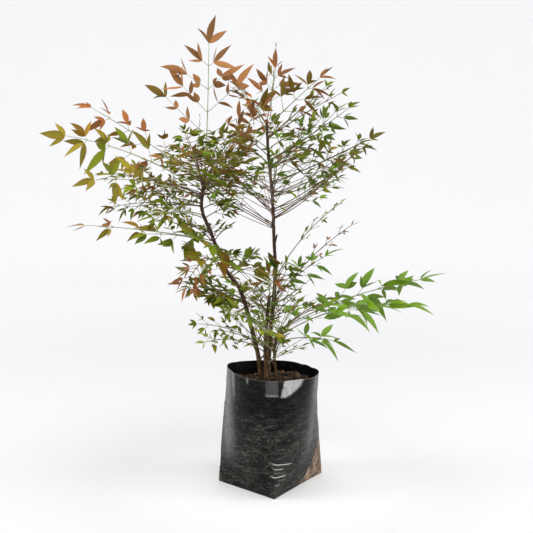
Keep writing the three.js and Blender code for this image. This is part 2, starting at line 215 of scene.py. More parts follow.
def unitTube(name, sides, cuts, caps="NOTHING"):  # an upright tube of radius 1 from z 0 to 1
    deselectAll()
    bpy.ops.mesh.primitive_cylinder_add(
        vertices=sides, radius=1, depth=1, end_fill_type=caps, location=(0, 0, 0.5))
    tube = bpy.context.object
    tube.name = tube.data.name = name
    bpy.ops.object.transform_apply(location=True, rotation=True, scale=True)
    bpy.ops.object.mode_set(mode="EDIT")
    bpy.ops.mesh.select_mode(type="EDGE")
    selectEdges(tube, lambda edge: abs(edge.verts[0].co.z - edge.verts[1].co.z) > 0.5)
    bpy.ops.mesh.subdivide(number_cuts=cuts)
    bpy.ops.object.mode_set(mode="OBJECT")
    return tube


def selectEdges(piece, test):
    bpy.ops.mesh.select_all(action="DESELECT")
    shape = bmesh.from_edit_mesh(piece.data)
    for edge in shape.edges:
        if test(edge):
            edge.select = True
    shape.select_flush_mode()
    bmesh.update_edit_mesh(piece.data)


def removeLid(piece):  # the face on top
    bpy.ops.object.mode_set(mode="EDIT")
    bpy.ops.mesh.select_mode(type="FACE")
    bpy.ops.mesh.select_all(action="DESELECT")
    shape = bmesh.from_edit_mesh(piece.data)
    max(shape.faces, key=lambda face: face.calc_center_median().z).select = True
    bmesh.update_edit_mesh(piece.data)
    bpy.ops.mesh.delete(type="ONLY_FACE")
    bpy.ops.object.mode_set(mode="OBJECT")


def fillRing(piece, test, sides):  # a grid of faces in the ring whose edges pass the test
    bpy.ops.object.mode_set(mode="EDIT")
    bpy.ops.mesh.select_mode(type="EDGE")
    selectEdges(piece, test)
    bpy.ops.mesh.fill_grid(span=sides // 4)
    bpy.ops.mesh.select_all(action="SELECT")
    bpy.ops.mesh.normals_make_consistent(inside=False)
    bpy.ops.object.mode_set(mode="OBJECT")


def pointsOf(piece):
    points = np.zeros(len(piece.data.vertices) * 3)
    piece.data.vertices.foreach_get("co", points)
    return points.reshape(-1, 3)


def reachOf(points):  # from the upright axis
    return np.hypot(points[:, 0], points[:, 1])


def angleOf(points):
    return np.degrees(np.arctan2(points[:, 1], points[:, 0]))


def movePoints(piece, points, unit=mm):
    points = np.array([tuple(point) for point in points])
    piece.data.vertices.foreach_set("co", (points * unit).ravel())
    piece.data.update()


def giveAttribute(piece, name, values):
    layer = piece.data.attributes.new(name, "FLOAT", "POINT")
    layer.data.foreach_set("value", np.asarray(values, np.float32))


def applied(piece, kind, **settings):
    modifier = piece.modifiers.new(kind.title(), kind)
    for key, value in settings.items():
        setattr(modifier, key, value)
    bpy.context.view_layer.objects.active = piece
    bpy.ops.object.modifier_apply(modifier=modifier.name)


def softEdges(piece, degrees):
    deselectAll()
    piece.select_set(True)
    bpy.context.view_layer.objects.active = piece
    bpy.ops.object.shade_smooth_by_angle(angle=math.radians(degrees))


def meshFrom(name, points, faces, kinds=None):  # points in millimetres
    mesh = bpy.data.meshes.new(name)
    mesh.from_pydata((np.asarray(points) * mm).tolist(), [], faces)
    if kinds is not None:
        mesh.polygons.foreach_set("material_index", kinds)
    mesh.update()
    piece = bpy.data.objects.new(name, mesh)
    bpy.context.collection.objects.link(piece)
    return piece


def plainFinish(name, tone, dullness, gloss=0.5, shade=1.0):
    tone = colourOf(*tone, shade)
    return Finish(name, Base_Color=tone, Roughness=dullness, Specular_IOR_Level=gloss)


def finishPiece(piece, finishes, nodes):
    for finish in finishes:
        piece.data.materials.append(finish.material)
    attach(piece, "root")
    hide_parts(*nodes)


class Tubes:  # many thin tubes that end up in one mesh
    def __init__(self):
        self.points, self.faces, self.nodes = [], [], set()

    def add(self, path, radii, sides=5):
        first = len(self.points)
        last = len(path) - 1
        for i, centre in enumerate(path):
            pair = squarePair((path[min(i + 1, last)] - path[max(i - 1, 0)]).normalized())
            self.points += [centre + turned(*pair, 360 * k / sides) * radii[i] for k in range(sides)]
        for i in range(last):
            for k in range(sides):
                a, b = first + i * sides, first + (i + 1) * sides
                self.faces.append((a + k, a + (k + 1) % sides, b + (k + 1) % sides, b + k))
        self.faces.append(tuple(first + sides - 1 - k for k in range(sides)))
        self.faces.append(tuple(first + last * sides + k for k in range(sides)))

    def piece(self, name, slot, finish, nodes, softness=60):
        made = meshFrom(name, self.points, self.faces)
        finishPiece(made, [finish], nodes)
        if softness:
            softEdges(made, softness)


# Camera, light and floor

studio = {
    "camera": (-0.0141, -1.92, 0.70), "tiltDown": 6.6, "lens": 60.6, "aim": (0, 0, 0.45),
    "floorRadius": 3.4, "wallRadius": 5.0, "wallHeight": 3.2, "sides": 96, "cuts": 24,
    # paper tones: painted lighter near the bag to lift the shade round its foot, and darker on the open floor
    # than up the wall, so floor and wall look evenly lit
    "near": (239.2, 239.2, 240.1), "floor": (219.9, 220, 221.7), "wall": (238.6, 238.6, 239.8),
    "nearReach": (0.08, 0.42), "floorReach": (1.1, 3.2), "skyStrength": 1.1,
}
softboxes = [  # place, size, watts
    ((-2.3, -0.3, 1.2), (1.0, 2.2), 19),
    ((2.3, -0.3, 1.2), (1.0, 2.2), 19),
    ((0.3, -1.2, 2.9), (1.6, 1.0), 20),
]


def setUpStudio():
    camera = bpy.data.objects.new("camera", bpy.data.cameras.new("camera"))
    camera.location = studio["camera"]
    camera.rotation_euler = (math.radians(90 - studio["tiltDown"]), 0, 0)
    camera.data.lens = studio["lens"]
    scene = bpy.context.scene
    scene.collection.objects.link(camera)
    scene.camera = camera
    scene.view_settings.view_transform = "Standard"
    world = bpy.data.worlds.new("studio")
    world.use_nodes = True
    sky = world.node_tree.nodes["Background"].inputs
    sky["Color"].default_value = (1, 1, 1, 1)
    sky["Strength"].default_value = studio["skyStrength"]
    scene.world = world
    for i, (place, size, watts) in enumerate(softboxes):
        light = bpy.data.lights.new(f"softbox{i}", "AREA")
        light.shape, light.energy = "RECTANGLE", watts
        light.size, light.size_y = size
        holder = bpy.data.objects.new(f"softbox{i}", light)
        holder.location = place
        aim = Vector(studio["aim"]) - Vector(place)
        holder.rotation_euler = aim.to_track_quat("-Z", "Y").to_euler()
        scene.collection.objects.link(holder)


def makeFloor():  # a round floor that curves up into a wall
    floor = unitTube("studioFloor", studio["sides"], studio["cuts"], "NGON")
    points = pointsOf(floor)
    share = points[:, 2]
    angle = share * math.pi / 2
    radius = mixed(studio["floorRadius"], studio["wallRadius"], np.sin(angle))
    points[:, :2] *= radius[:, None]
    points[:, 2] = studio["wallHeight"] * (1 - np.cos(angle))
    movePoints(floor, points, 1)
    removeLid(floor)
    softEdges(floor, 60)
    paper = Finish("studioPaper", Roughness=0.9, Specular_IOR_Level=0.1)
    away = paper.node("VectorMath", {"operation": "LENGTH"}, {0: paper.place}, 1)
    # painted light: the paper is lighter near the bag against its shade, darker out on the floor and lighter
    # again up the wall
    paper.paint(studio["near"], (studio["floor"], paper.step(away, *studio["nearReach"])),
                (studio["wall"], paper.step(away, *studio["floorReach"])))
    floor.data.materials.append(paper.material)


# Canes

canes = {  # route: the centre line as (x, y, height)
    "left": {"foot": 5, "tip": 2.8, "route": [
        (-27, -12, 240), (-33, -14, 290), (-47, -20, 349), (-71, -26, 433), (-95, -30, 466),
        (-114, -34, 510), (-133, -38, 558), (-149, -40, 602), (-147, -40, 645), (-142, -40, 680)]},
    "right": {"foot": 5, "tip": 2.4, "route": [
        (-10, 6, 240), (-6, 8, 330), (1, 11, 400), (5, 15, 466), (2, 20, 540),
        (0, 20, 600), (-5, 20, 665), (-12, 20, 745), (-14, 20, 792)]},
    "middle": {"foot": 6, "tip": 3, "route": [
        (-14, -22, 240), (-16, -20, 320), (-11, -20, 386), (-7, -20, 415)]},
    "short": {"foot": 3.4, "tip": 2.4, "route": [
        (6, -8, 240), (3, -8, 290), (8, -9, 325), (16, -10, 346)]},
}
bark = {
    "sides": 20, "step": 2.2, "soilTop": 225.3, "footFlare": 1.3, "flareHeight": 12,
    "scarGap": 21, "scarRise": 0.15, "scarWidth": 1.7, "scarSway": 3, "ridge": 0.1, "knobble": 0.08,
}


def bent(points, share):  # a centripetal curve through points
    place = share * (len(points) - 1)
    i = min(int(place), len(points) - 2)
    before = points[i - 1] if i > 0 else points[0] * 2 - points[1]
    beyond = points[i + 2] if i + 2 < len(points) else points[-1] * 2 - points[-2]
    a, b = points[i], points[i + 1]
    t0, t1, t2 = ((q - p).length ** 0.5 for p, q in ((before, a), (a, b), (b, beyond)))
    leaving = ((a - before) / t0 - (b - before) / (t0 + t1) + (b - a) / t1) * t1
    arriving = ((b - a) / t1 - (beyond - a) / (t1 + t2) + (beyond - b) / t2) * t1
    w = place - i
    return (a + leaving * w + (b * 3 - a * 3 - leaving * 2 - arriving) * w ** 2
            + (a * 2 - b * 2 + leaving + arriving) * w ** 3)


def caneSeed(cane):
    return cane["foot"] * 3 + cane["tip"] * 7


def caneLine(cane, steps):
    x, y, _ = cane["route"][0]
    points = [Vector((x, y, bark["soilTop"])), *map(Vector, cane["route"])]
    return [bent(points, i / steps) for i in range(steps + 1)]


def caneCentre(cane, height):
    line = cane["line"]
    above = next(i for i, point in enumerate(line) if point.z > height)
    low, high = line[above - 1], line[above]
    return low.lerp(high, (height - low.z) / (high.z - low.z))


def makeCane(name, cane):
    length = cane["line"][-1].z - cane["line"][0].z
    steps = int(length / bark["step"])
    line = caneLine(cane, steps)
    tube = unitTube(f"{name}Cane", bark["sides"], steps - 1, "NGON")
    points = pointsOf(tube)
    rings = np.rint(points[:, 2] * steps).astype(int)
    angles = np.arctan2(points[:, 1], points[:, 0])
    walked = np.cumsum([0] + [(b - a).length for a, b in zip(line, line[1:])])
    moved, scars = [], []
    for ring, angle in zip(rings, angles):
        direction = (line[min(ring + 1, steps)] - line[max(ring - 1, 0)]).normalized()
        outward = turned(*squarePair(direction), math.degrees(angle))
        scars.append(scarAt(cane, walked[ring], walked[-1], angle))
        moved.append(line[ring] + outward * caneRadius(cane, walked[ring], walked[-1], angle, scars[-1]))
        if ring == 0:
            moved[-1].z = bark["soilTop"]
    movePoints(tube, moved)
    giveAttribute(tube, "scar", scars)
    softEdges(tube, 50)
    return tube


def scarAt(cane, height, length, angle):  # the ring that a fallen frond's sheath leaves
    sway = bark["scarSway"] * math.sin(angle + caneSeed(cane) + height * 0.07)
    gap = bark["scarGap"] * mixed(1.25, 0.7, height / length)
    return math.exp(-((((height + sway) % gap) - gap / 2) / bark["scarWidth"]) ** 2)


def caneRadius(cane, height, length, angle, scar):
    radius = mixed(cane["foot"], cane["tip"], height / length)
    radius *= 1 + (bark["footFlare"] - 1) * max(0, 1 - height / bark["flareHeight"]) ** 2
    turn = Vector((math.cos(angle) * 1.6, math.sin(angle) * 1.6, height * 0.02 + caneSeed(cane)))
    streak = noise.noise(turn * 2.2) * bark["ridge"]
    lumps = noise.noise(Vector((turn.x, turn.y, height * 0.11 + caneSeed(cane)))) * bark["knobble"]
    return radius * (1 + streak + lumps + bark["scarRise"] * scar)


def barkFinish():
    finish = Finish("caneBark", Roughness=0.82, Specular_IOR_Level=0.25)
    height = finish.axis(2)
    streaks = finish.patches(0.36, 0.64, 520, 6, (1, 1, 0.09), 0.6)
    flakes = finish.patches(0.42, 0.62, 150, 5, (1, 1, 0.5), 0.7)
    upper = finish.colour((40, 24, 20), (104, 78, 66), streaks)
    upper = finish.colour(upper, (66, 60, 38), finish.step(height, 0.52, 0.76) * 0.6)
    lower = finish.colour((46, 30, 20), (132, 102, 66), streaks)
    lower = finish.colour(lower, (96, 84, 44), flakes * 0.4)
    finish.paint(upper, (lower, finish.step(height, 0.37, 0.26)), ((30, 19, 15), flakes * 0.35),
                 ((34, 22, 17), finish.attribute("scar") * 0.6))
    finish.relief(streaks + flakes * 0.7, 0.8, 0.0012)
    return finish


stub = {  # a broken side shoot, with a splintered end
    "cane": "right", "height": 522, "toward": 330, "rise": 74, "length": 24, "foot": 2.3, "tip": 1.7,
    "sides": 18, "cuts": 11, "waviness": 0.1, "waves": 21, "splinter": 3.4,
}


def makeStub():
    tube = unitTube("brokenStub", stub["sides"], stub["cuts"], "NGON")
    foot = caneCentre(canes[stub["cane"]], stub["height"])
    direction = heading(stub["toward"], stub["rise"])
    pair = squarePair(direction)
    points = []
    for x, y, share in pointsOf(tube):
        angle = math.atan2(y, x)
        radius = mixed(stub["foot"], stub["tip"], share)
        radius *= 1 + stub["waviness"] * math.sin(share * stub["waves"] + angle)
        walked = stub["length"] * share
        if share > 0.999:
            walked += stub["splinter"] * (chance(round(angle * 9), 1) - 0.6)
        outward = turned(*pair, math.degrees(angle))
        points.append(foot + direction * walked + outward * radius)
    movePoints(tube, points)
    giveAttribute(tube, "scar", [0.0] * len(points))
    softEdges(tube, 40)
    return tube


# Fronds: a rachis, side stems and leaflets

columns = ("height", "toward", "rise", "bend", "length", "bare", "spread", "pairs", "leaf", "roll", "tint")
frondRows = {
    "left": [
        (676, 335, 86, 3, 268, 0.3, 0.85, 4, 60, 45, "copper"),
        (669, 6, 54, -8, 195, 0.35, 0.5, 3, 46, 30, "copper"),
        (665, 301, 38, -5, 170, 0.25, 0.5, 3, 36, 15, "brown"),
        (659, 186, 38, -8, 275, 0.34, 0.25, 4, 40, 50, "copper"),
        (654, 103, 29, -8, 270, 0.3, 0.5, 3, 34, 10, "olive"),
        (650, 270, 24, -15, 245, 0.25, 0.5, 3, 34, 10, "brown"),
        (646, 47, 38, -10, 160, 0.3, 0.5, 3, 34, 10, "brown"),
        (644, 324, 19, -10, 140, 0.25, 0.5, 3, 30, 20, "olive"),
        (642, 202, 34, -25, 305, 0.4, 0.2, 4, 52, 70, "gold"),
        (633, 156, 20, -20, 250, 0.28, 0.45, 3, 28, 30, "olive"),
        (624, 216, 24, -28, 250, 0.6, 0.26, 2, 48, 62, "gold"),
        (610, 178, 10, -22, 195, 0.28, 0.45, 3, 28, 40, "green"),
        (591, 210, 19, -40, 115, 0.3, 0.38, 3, 32, 40, "lime"),
        (585, 0, 34, -20, 60, 0.4, 0.4, 2, 28, 40, "green"),
        (537, 196, 12, -8, 270, 0.55, 0.1, 2, 38, 30, "amber"),
        (529, 206, 21, -22, 155, 0.34, 0.34, 3, 44, 45, "lime"),
        (515, 255, 24, -20, 160, 0.3, 0.42, 3, 46, 30, "green"),
        (500, 232, 12, -75, 130, 0.4, 0.3, 3, 28, 30, "young"),
        (474, 257, 25, -24, 190, 0.35, 0.46, 3, 48, 20, "bronze"),
        (458, 293, 25, -20, 135, 0.35, 0.46, 3, 46, 20, "bronze"),
        (439, 107, 21, -25, 210, 0.3, 0.5, 3, 38, 20, "green"),
        (410, 202, 32, -35, 125, 0.3, 0.4, 3, 34, 30, "green")],
    "right": [
        (788, 324, 74, 8, 115, 0.38, 0.55, 3, 46, 20, "copper"),
        (781, 237, 38, -5, 125, 0.4, 0.46, 3, 40, 30, "copper"),
        (775, 325, 39, -5, 165, 0.32, 0.34, 3, 50, 40, "copper"),
        (751, 14, 36, -10, 195, 0.35, 0.22, 3, 26, 30, "olive"),
        (731, 122, 22, 0, 125, 0.32, 0.45, 3, 34, 20, "amber"),
        (706, 344, 28, 8, 205, 0.35, 0.36, 4, 34, 40, "green"),
        (693, 301, 17, 5, 210, 0.35, 0.42, 3, 32, 30, "green"),
        (658, 341, 19, 8, 235, 0.42, 0.34, 4, 34, 40, "bronze"),
        (638, 78, 22, 5, 235, 0.38, 0.42, 3, 30, 20, "olive"),
        (628, 11, 18, 18, 225, 0.4, 0.32, 4, 28, 30, "olive"),
        (619, 268, 13, 10, 250, 0.38, 0.42, 3, 30, 20, "deep"),
        (600, 317, 21, 14, 250, 0.48, 0.32, 3, 28, 30, "olive"),
        (591, 125, 25, 8, 235, 0.42, 0.36, 3, 28, 20, "brown"),
        (582, 34, 24, 12, 225, 0.5, 0.32, 3, 26, 30, "brown"),
        (565, 150, 24, 4, 225, 0.52, 0.3, 3, 26, 20, "olive"),
        (449, 17, 62, -30, 225, 0.45, 0.22, 4, 20, 30, "pale"),
        (420, 283, 46, -20, 130, 0.35, 0.4, 3, 40, 40, "green"),
        (407, 343, 50, -20, 150, 0.5, 0.34, 2, 42, 50, "bright"),
        (393, 3, 58, -25, 245, 0.4, 0.2, 4, 20, 30, "young")],
    "middle": [
        (412, 268, 56, -10, 75, 0.35, 0.5, 3, 36, 20, "copper"),
        (375, 118, 21, -20, 165, 0.35, 0.5, 3, 34, 20, "green"),
        (339, 242, 40, -35, 175, 0.35, 0.4, 3, 34, 30, "lime"),
        (324, 268, 33, -35, 190, 0.35, 0.5, 4, 30, 30, "lime"),
        (303, 206, 40, -35, 175, 0.5, 0.26, 3, 24, 30, "lime"),
        (294, 225, 35, -40, 185, 0.5, 0.26, 3, 24, 30, "pale")],
    "short": [
        (343, 351, 31, -20, 320, 0.42, 0.36, 4, 68, 35, "bright"),
        (336, 50, 27, -30, 215, 0.35, 0.5, 3, 40, 20, "deep"),
        (330, 303, 39, -30, 245, 0.35, 0.45, 3, 50, 15, "bright"),
        (322, 332, 37, -38, 315, 0.42, 0.36, 4, 66, 20, "bright"),
        (312, 325, 24, -32, 150, 0.5, 0.22, 2, 50, 40, "bright")],
}
growth = {  # a pair of numbers is the least and the spread of a size that varies
    "rachisRadii": (1.4, 0.62), "rachisSteps": 15, "rachisDepth": 0.6,
    "stemRadii": (0.8, 0.42), "stemSteps": 4, "shortest": 8, "bendsOver": 70, "bends": (0.25, 0.67),
    "twigRadii": (0.5, 0.36), "nodeSwell": 1.35, "reachShare": (0.86, 0.28), "reachPower": 1.5,
    "stemAngle": (45, 14), "stemLift": (-0.125, 0.25), "stemTurn": 0.25, "stemSag": 0.12,
    "twigLift": (-0.45, 0.9), "twigOver": 1.5, "twigShare": (0.38, 0.2),
    "sideLeafAngle": (26, 30), "leafWander": (-22, 44), "leafScatter": 1.3, "leafLift": (-0.32, 0.8),
    "endLeafShare": (0.85, 0.3), "sideLeafShare": (0.5, 0.4), "roundLeafShare": (0.4, 0.15),
    "nodeLeaf": 0.85, "twigLeaf": 0.9, "pairSetBack": 1.5,
    "sprayLength": 22, "sprayShare": 0.63, "sprayReach": 0.8, "endKey": 50,
    "nodeGap": {"left": 0.74, "right": 1.9, "middle": 0.9, "short": 1.1}, "gapSpread": (0.75, 0.5),
    "widerGap": {"bronze": 1.7, "pale": 0.55}, "lowestNode": 0.22,
    "smallLeaf": 20, "largeLeaf": 37, "roundLeaves": (0.28, 0.38),  # for small and for large leaflets
    "finerStems": {"left": 1, "right": 0, "middle": 0, "short": 1},  # side stems between two pairs
    "cell": 12, "caneClear": 1, "leafClear": 2,  # how leaflets keep clear of canes and of each other
}
leafForm = {
    "stations": (0, 0.08, 0.22, 0.4, 0.58, 0.76, 0.9, 1),
    "halfWidths": (0, 0.46, 0.88, 1, 0.83, 0.48, 0.16, 0),
    "margin": 0.66, "fold": 0.3, "thickness": 0.013, "tested": (0.35, 0.65, 0.95),
    "width": (0.2, 0.1), "roundWidth": (0.48, 0.2),
    "broader": {"lime": 1.3, "gold": 1.2, "deep": 1.5, "green": 1.4, "olive": 1.2, "brown": 1.2,
                "bronze": 1.25, "bright": 1.05, "young": 1.05, "pale": 1.4}, "roundBroader": 0.2,
    # for small and for large leaflets
    "slimmer": {"left": (0.84, 1), "right": (0.82, 0.84), "middle": (0.95, 1), "short": (1, 1)},
    "droop": (0.0, 0.15), "sag": (0.02, 0.22), "curl": (-0.14, 0.28), "softer": {"bright": 1.1, "lime": 0.7},
    "dullness": 0.55, "gloss": 0.07,
}
tints = {  # upper side, margin and underside, and the tints of some of its sprays
    "copper": ((147, 95, 51), (153, 86, 46), (149, 104, 64), {"amber": 0.12, "brown": 0.16}),
    "amber": ((143, 116, 40), (152, 98, 42), (140, 118, 60), {"gold": 0.18, "copper": 0.2, "olive": 0.12}),
    "brown": ((106, 80, 22), (118, 78, 26), (114, 92, 36),
              {"copper": 0.16, "olive": 0.3, "green": 0.12, "bronze": 0.12}),
    "bronze": ((104, 98, 24), (116, 90, 32), (110, 104, 46),
               {"olive": 0.2, "brown": 0.12, "gold": 0.06, "green": 0.25}),
    "gold": ((136, 128, 42), (144, 112, 46), (134, 130, 62), {"lime": 0.1, "amber": 0.16}),
    "lime": ((112, 124, 30), (118, 116, 36), (110, 130, 52), {"gold": 0.2, "green": 0.2}),
    "olive": ((107, 103, 22), (114, 94, 26), (110, 114, 36),
              {"brown": 0.22, "green": 0.22, "bronze": 0.14, "deep": 0.1, "lime": 0.08}),
    "green": ((96, 114, 20), (104, 114, 24), (104, 124, 38),
              {"olive": 0.24, "bright": 0.1, "deep": 0.18, "lime": 0.12, "brown": 0.06}),
    "deep": ((74, 88, 20), (80, 90, 24), (80, 100, 38), {"green": 0.25, "olive": 0.18}),
    "bright": ((108, 142, 34), (114, 144, 40), (118, 150, 58), {"green": 0.04}),
    "young": ((150, 106, 68), (156, 98, 60), (152, 116, 80), {"copper": 0.25, "pale": 0.1}),
    "pale": ((128, 140, 70), (138, 134, 70), (134, 148, 88), {"olive": 0.2, "lime": 0.1}),
}
shades = (0.88, 1.02, 1.16)
stemTones = {  # colour, record slot and the tints of the fronds that have it
    "Pale": ((150, 154, 116), "leaf_pale", ("copper", "amber", "gold", "lime")),
    "Green": ((110, 112, 62), "leaf_green", ("bright", "pale", "green")),
    "Red": ((98, 70, 40), "cane_bark", ("brown", "bronze", "olive", "deep", "young")),
}


def rachisLine(frond):
    cane = canes[frond["cane"]]
    inside = growth["rachisDepth"] * cane["tip"] * math.cos(math.radians(frond["rise"]))
    start = caneCentre(cane, frond["height"]) + heading(frond["toward"], 0) * inside
    steps = growth["rachisSteps"]
    rises = (frond["rise"] + frond["bend"] * (i + 0.5) / steps for i in range(steps))
    return walk(start, [heading(frond["toward"], rise) for rise in rises], frond["length"])


def planeOf(frond, direction):  # the frond's side and face where its rachis runs this way
    turn, roll = math.radians(frond["toward"]), math.radians(frond["roll"])
    side = squareTo(Vector((math.sin(turn), -math.cos(turn), 0)), direction)
    face = side.cross(direction)
    return (side * math.cos(roll) + face * math.sin(roll), face * math.cos(roll) - side * math.sin(roll))


def stemLine(start, direction, rachisDirection, length):
    steps = growth["stemSteps"]
    bend = growth["bends"][length > growth["bendsOver"]]
    ways = []
    for share in (bend * i / steps for i in range(steps)):
        way = direction.lerp(rachisDirection, growth["stemTurn"] * share) - up * growth["stemSag"] * share
        ways.append(way.normalized())
    return walk(start, ways, length)


class Plant:
    def __init__(self):
        self.tubes = {tone: Tubes() for tone in stemTones}
        self.sheaths = Tubes()
        self.leaves, self.fronds, self.filled = {}, {}, {}
        for cane in canes.values():
            for point in cane["line"]:
                self.fill(point, 0, mixed(cane["foot"], cane["tip"], 0.5) + growth["caneClear"])

    def cellOf(self, point):
        return tuple(int(level // growth["cell"]) for level in point)

    def fill(self, point, owner, radius):
        self.filled.setdefault(self.cellOf(point), []).append((point, owner, radius))

    def isFree(self, point, owner):
        x, y, z = self.cellOf(point)
        cells = [(x + i, y + j, z + k) for i, j, k in product((-1, 0, 1), repeat=3)]
        near = [entry for cell in cells for entry in self.filled.get(cell, ())]
        return all(by == owner or (other - point).length >= radius for other, by, radius in near)

    def addLeaf(self, frond, tint, keys, base, forward, face, length, isRound):
        width = length * vary(leafForm["roundWidth" if isRound else "width"], *keys, 4)
        broader = leafForm["broader"].get(frond["tint"], 1)
        width *= mixed(1, broader, leafForm["roundBroader"]) if isRound else broader
        width *= leafForm["slimmer"][frond["cane"]][frond["leaf"] > growth["largeLeaf"]]
        inside = [base + forward * length * share for share in leafForm["tested"]]
        if not all(self.isFree(point, frond["number"]) for point in inside):
            return
        for point in inside:
            self.fill(point, frond["number"], growth["leafClear"])
        bends = [vary(leafForm[kind], *keys, 5 + i) for i, kind in enumerate(("droop", "sag", "curl"))]
        bends[1] *= leafForm["softer"].get(frond["tint"], 1)
        shade = int(chance(*keys, 8) * len(shades))
        self.leaves.setdefault((tint, shade), []).append((*base, *forward, *face, length, width, *bends))
        self.fronds.setdefault((tint, shade), set()).add(frond["name"])

    def addStem(self, frond, line, radii, sides, nodes=()):
        count = len(line) - 1
        sizes = [mixed(*radii, i / count) for i in range(count + 1)]
        for node in nodes:
            sizes[round(node * count)] *= growth["nodeSwell"]
        tone = next(name for name, (_, _, tintsOfIt) in stemTones.items() if frond["tint"] in tintsOfIt)
        self.tubes[tone].add(line, sizes, sides)
        self.tubes[tone].nodes.add(frond["name"])


sheath = {
    "length": (15, 9), "radii": (1.2, 2.07, 2.3, 2.3, 1.75), "steps": 3, "hug": 0.75, "footHug": 0.4,
    "overlap": 0.45, "aboveSoil": 2, "sides": 7, "colour": (76, 58, 44),
}


def addSheath(plant, frond, line):  # the clasping foot of a frond, wrapped round its cane
    cane = canes[frond["cane"]]
    length = vary(sheath["length"], frond["seed"], 71)
    low = max(frond["height"] - length, bark["soilTop"] + sheath["aboveSoil"])
    out = heading(frond["toward"], 0) * cane["tip"] * sheath["hug"]
    path = []
    for i in range(sheath["steps"] + 1):
        share = i / sheath["steps"]
        centre = caneCentre(cane, mixed(low, frond["height"], share))
        path.append(centre + out * mixed(sheath["footHug"], 1, share))
    path.append(line[0].lerp(line[1], sheath["overlap"]))
    plant.sheaths.add(path, sheath["radii"], sheath["sides"])


bareStalks = {  # dry rachises that have lost their leaflets
    "groups": (  # canes, how many, height, rise and length
        (("left", "middle", "short", "right"), 30, (258, 170), (24, 36), (45, 90)),
        (("right",), 18, (556, 96), (16, 16), (110, 90))),
    "bend": (-14, 28), "steps": 8, "tipGap": 6, "radii": (0.85, 0.5), "colour": (112, 88, 66),
}


def onCane(cane, height, gap):  # a foot's height, at least this far below the cane's tip
    return min(height, cane["route"][-1][2] - gap)


def bareStalk(cane, key, *sizes):
    height, rise, length = (vary(size, key, salt) for size, salt in zip(sizes, (31, 33, 34)))
    toward, bend = 360 * chance(key, 32), vary(bareStalks["bend"], key, 35)
    bends = (bend * k / bareStalks["steps"] for k in range(bareStalks["steps"]))
    foot = caneCentre(cane, onCane(cane, height, bareStalks["tipGap"]))
    return walk(foot, [heading(toward + bend / 2, rise + bend) for bend in bends], length)


def makeBareStalks():
    stalks = Tubes()
    steps = bareStalks["steps"]
    for group, (names, count, *sizes) in enumerate(bareStalks["groups"]):
        for i in range(count):
            line = bareStalk(canes[names[i % len(names)]], i + 40 * group, *sizes)
            stalks.add(line, [mixed(*bareStalks["radii"], k / steps) for k in range(steps + 1)])
    stalks.piece("bareStalks", "cane_bark", plainFinish("bareStalk", bareStalks["colour"], 0.75),
                 [f"{name}_cane" for name in canes])


budShoots = [  # the frond that each is drawn with, foot, tip and how many bracts
    ("right_frond_01", (-7, 20, 790), (6, 18, 948), 17),
    ("left_frond_01", (-158, -40, 700), (-152, -40, 792), 8),
]
budForm = {
    "frond": {"tint": "pale", "leaf": 9, "cane": "left"}, "firstNumber": 200, "steps": 8, "sway": 0.9,
    "bare": 0.3, "radii": (1.0, 0.4), "twigRadii": (0.4, 0.3), "spread": 0.75, "twig": (2, 4),
    "bract": (4, 5),
}


def addBudShoot(plant, number, name, foot, tip, bracts):
    foot, tip = Vector(foot), Vector(tip)
    rise = (tip - foot).normalized()
    line = []
    for i in range(budForm["steps"] + 1):
        sway = Vector((math.sin(i * 1.7), math.cos(i * 2.3), 0)) * budForm["sway"]
        line.append(foot.lerp(tip, i / budForm["steps"]) + sway)
    frond = {**budForm["frond"], "number": number, "name": name}
    plant.addStem(frond, line, budForm["radii"], 5)
    for i in range(bracts):
        point, _ = along(line, mixed(budForm["bare"], 1, i / (bracts - 1)))
        out = heading(goldenAngle * i, 0)
        forward = (out * budForm["spread"] + rise).normalized()
        twigEnd = point + forward * vary(budForm["twig"], number, i, 1)
        plant.addStem(frond, [point, twigEnd], budForm["twigRadii"], 4)
        plant.addLeaf(frond, "pale", (number, i), twigEnd, (forward + rise).normalized(), squareTo(out, rise),
                      vary(budForm["bract"], number, i, 2), False)


def tintOf(frond, *keys):
    roll = chance(frond["seed"], *keys, 90)
    for tint, share in tints[frond["tint"]][3].items():
        roll -= share
        if roll < 0:
            return tint
    return frond["tint"]


def leafBeside(plant, frond, tint, point, direction, plane, keys, hand, size):
    side = squareTo(plane[0], direction)
    angle = hand * vary(growth["sideLeafAngle"], *keys, 9) + vary(growth["leafWander"], *keys[:3], 10 + hand)
    lift = plane[1] * vary(growth["leafLift"], *keys[:3], 80 + hand, *keys[3:])
    forward = (turned(direction, side, angle) + lift).normalized()
    wander = Vector([chance(*keys[:3], 60 + axis + 5 * hand, *keys[3:]) - 0.5 for axis in (1, 2, 3)])
    facing = plane[1] + wander * growth["leafScatter"] * (1 if hand == 0 else 2)
    roundShare = growth["roundLeaves"][frond["leaf"] > growth["largeLeaf"]]
    atSide = hand != 0 and keys[1] != growth["endKey"]
    isRound = atSide and chance(*keys[:3], 30 + hand, *keys[3:]) < roundShare
    kind = "endLeafShare" if hand == 0 else "roundLeafShare" if isRound else "sideLeafShare"
    share = vary(growth[kind], *keys[:3], 20 + hand, *keys[3:])
    face = squareTo(facing, forward)
    plant.addLeaf(frond, tint, (*keys, hand), point, forward, face, size * share, isRound)


def spray(plant, frond, tint, line, plane, keys, size):  # the three leaflets at a stem's end
    tip, direction = along(line, 1)
    for hand in (0, 1, -1):
        point = tip - direction * growth["pairSetBack"] * abs(hand)
        leafBeside(plant, frond, tint, point, direction, plane, keys, hand, size)


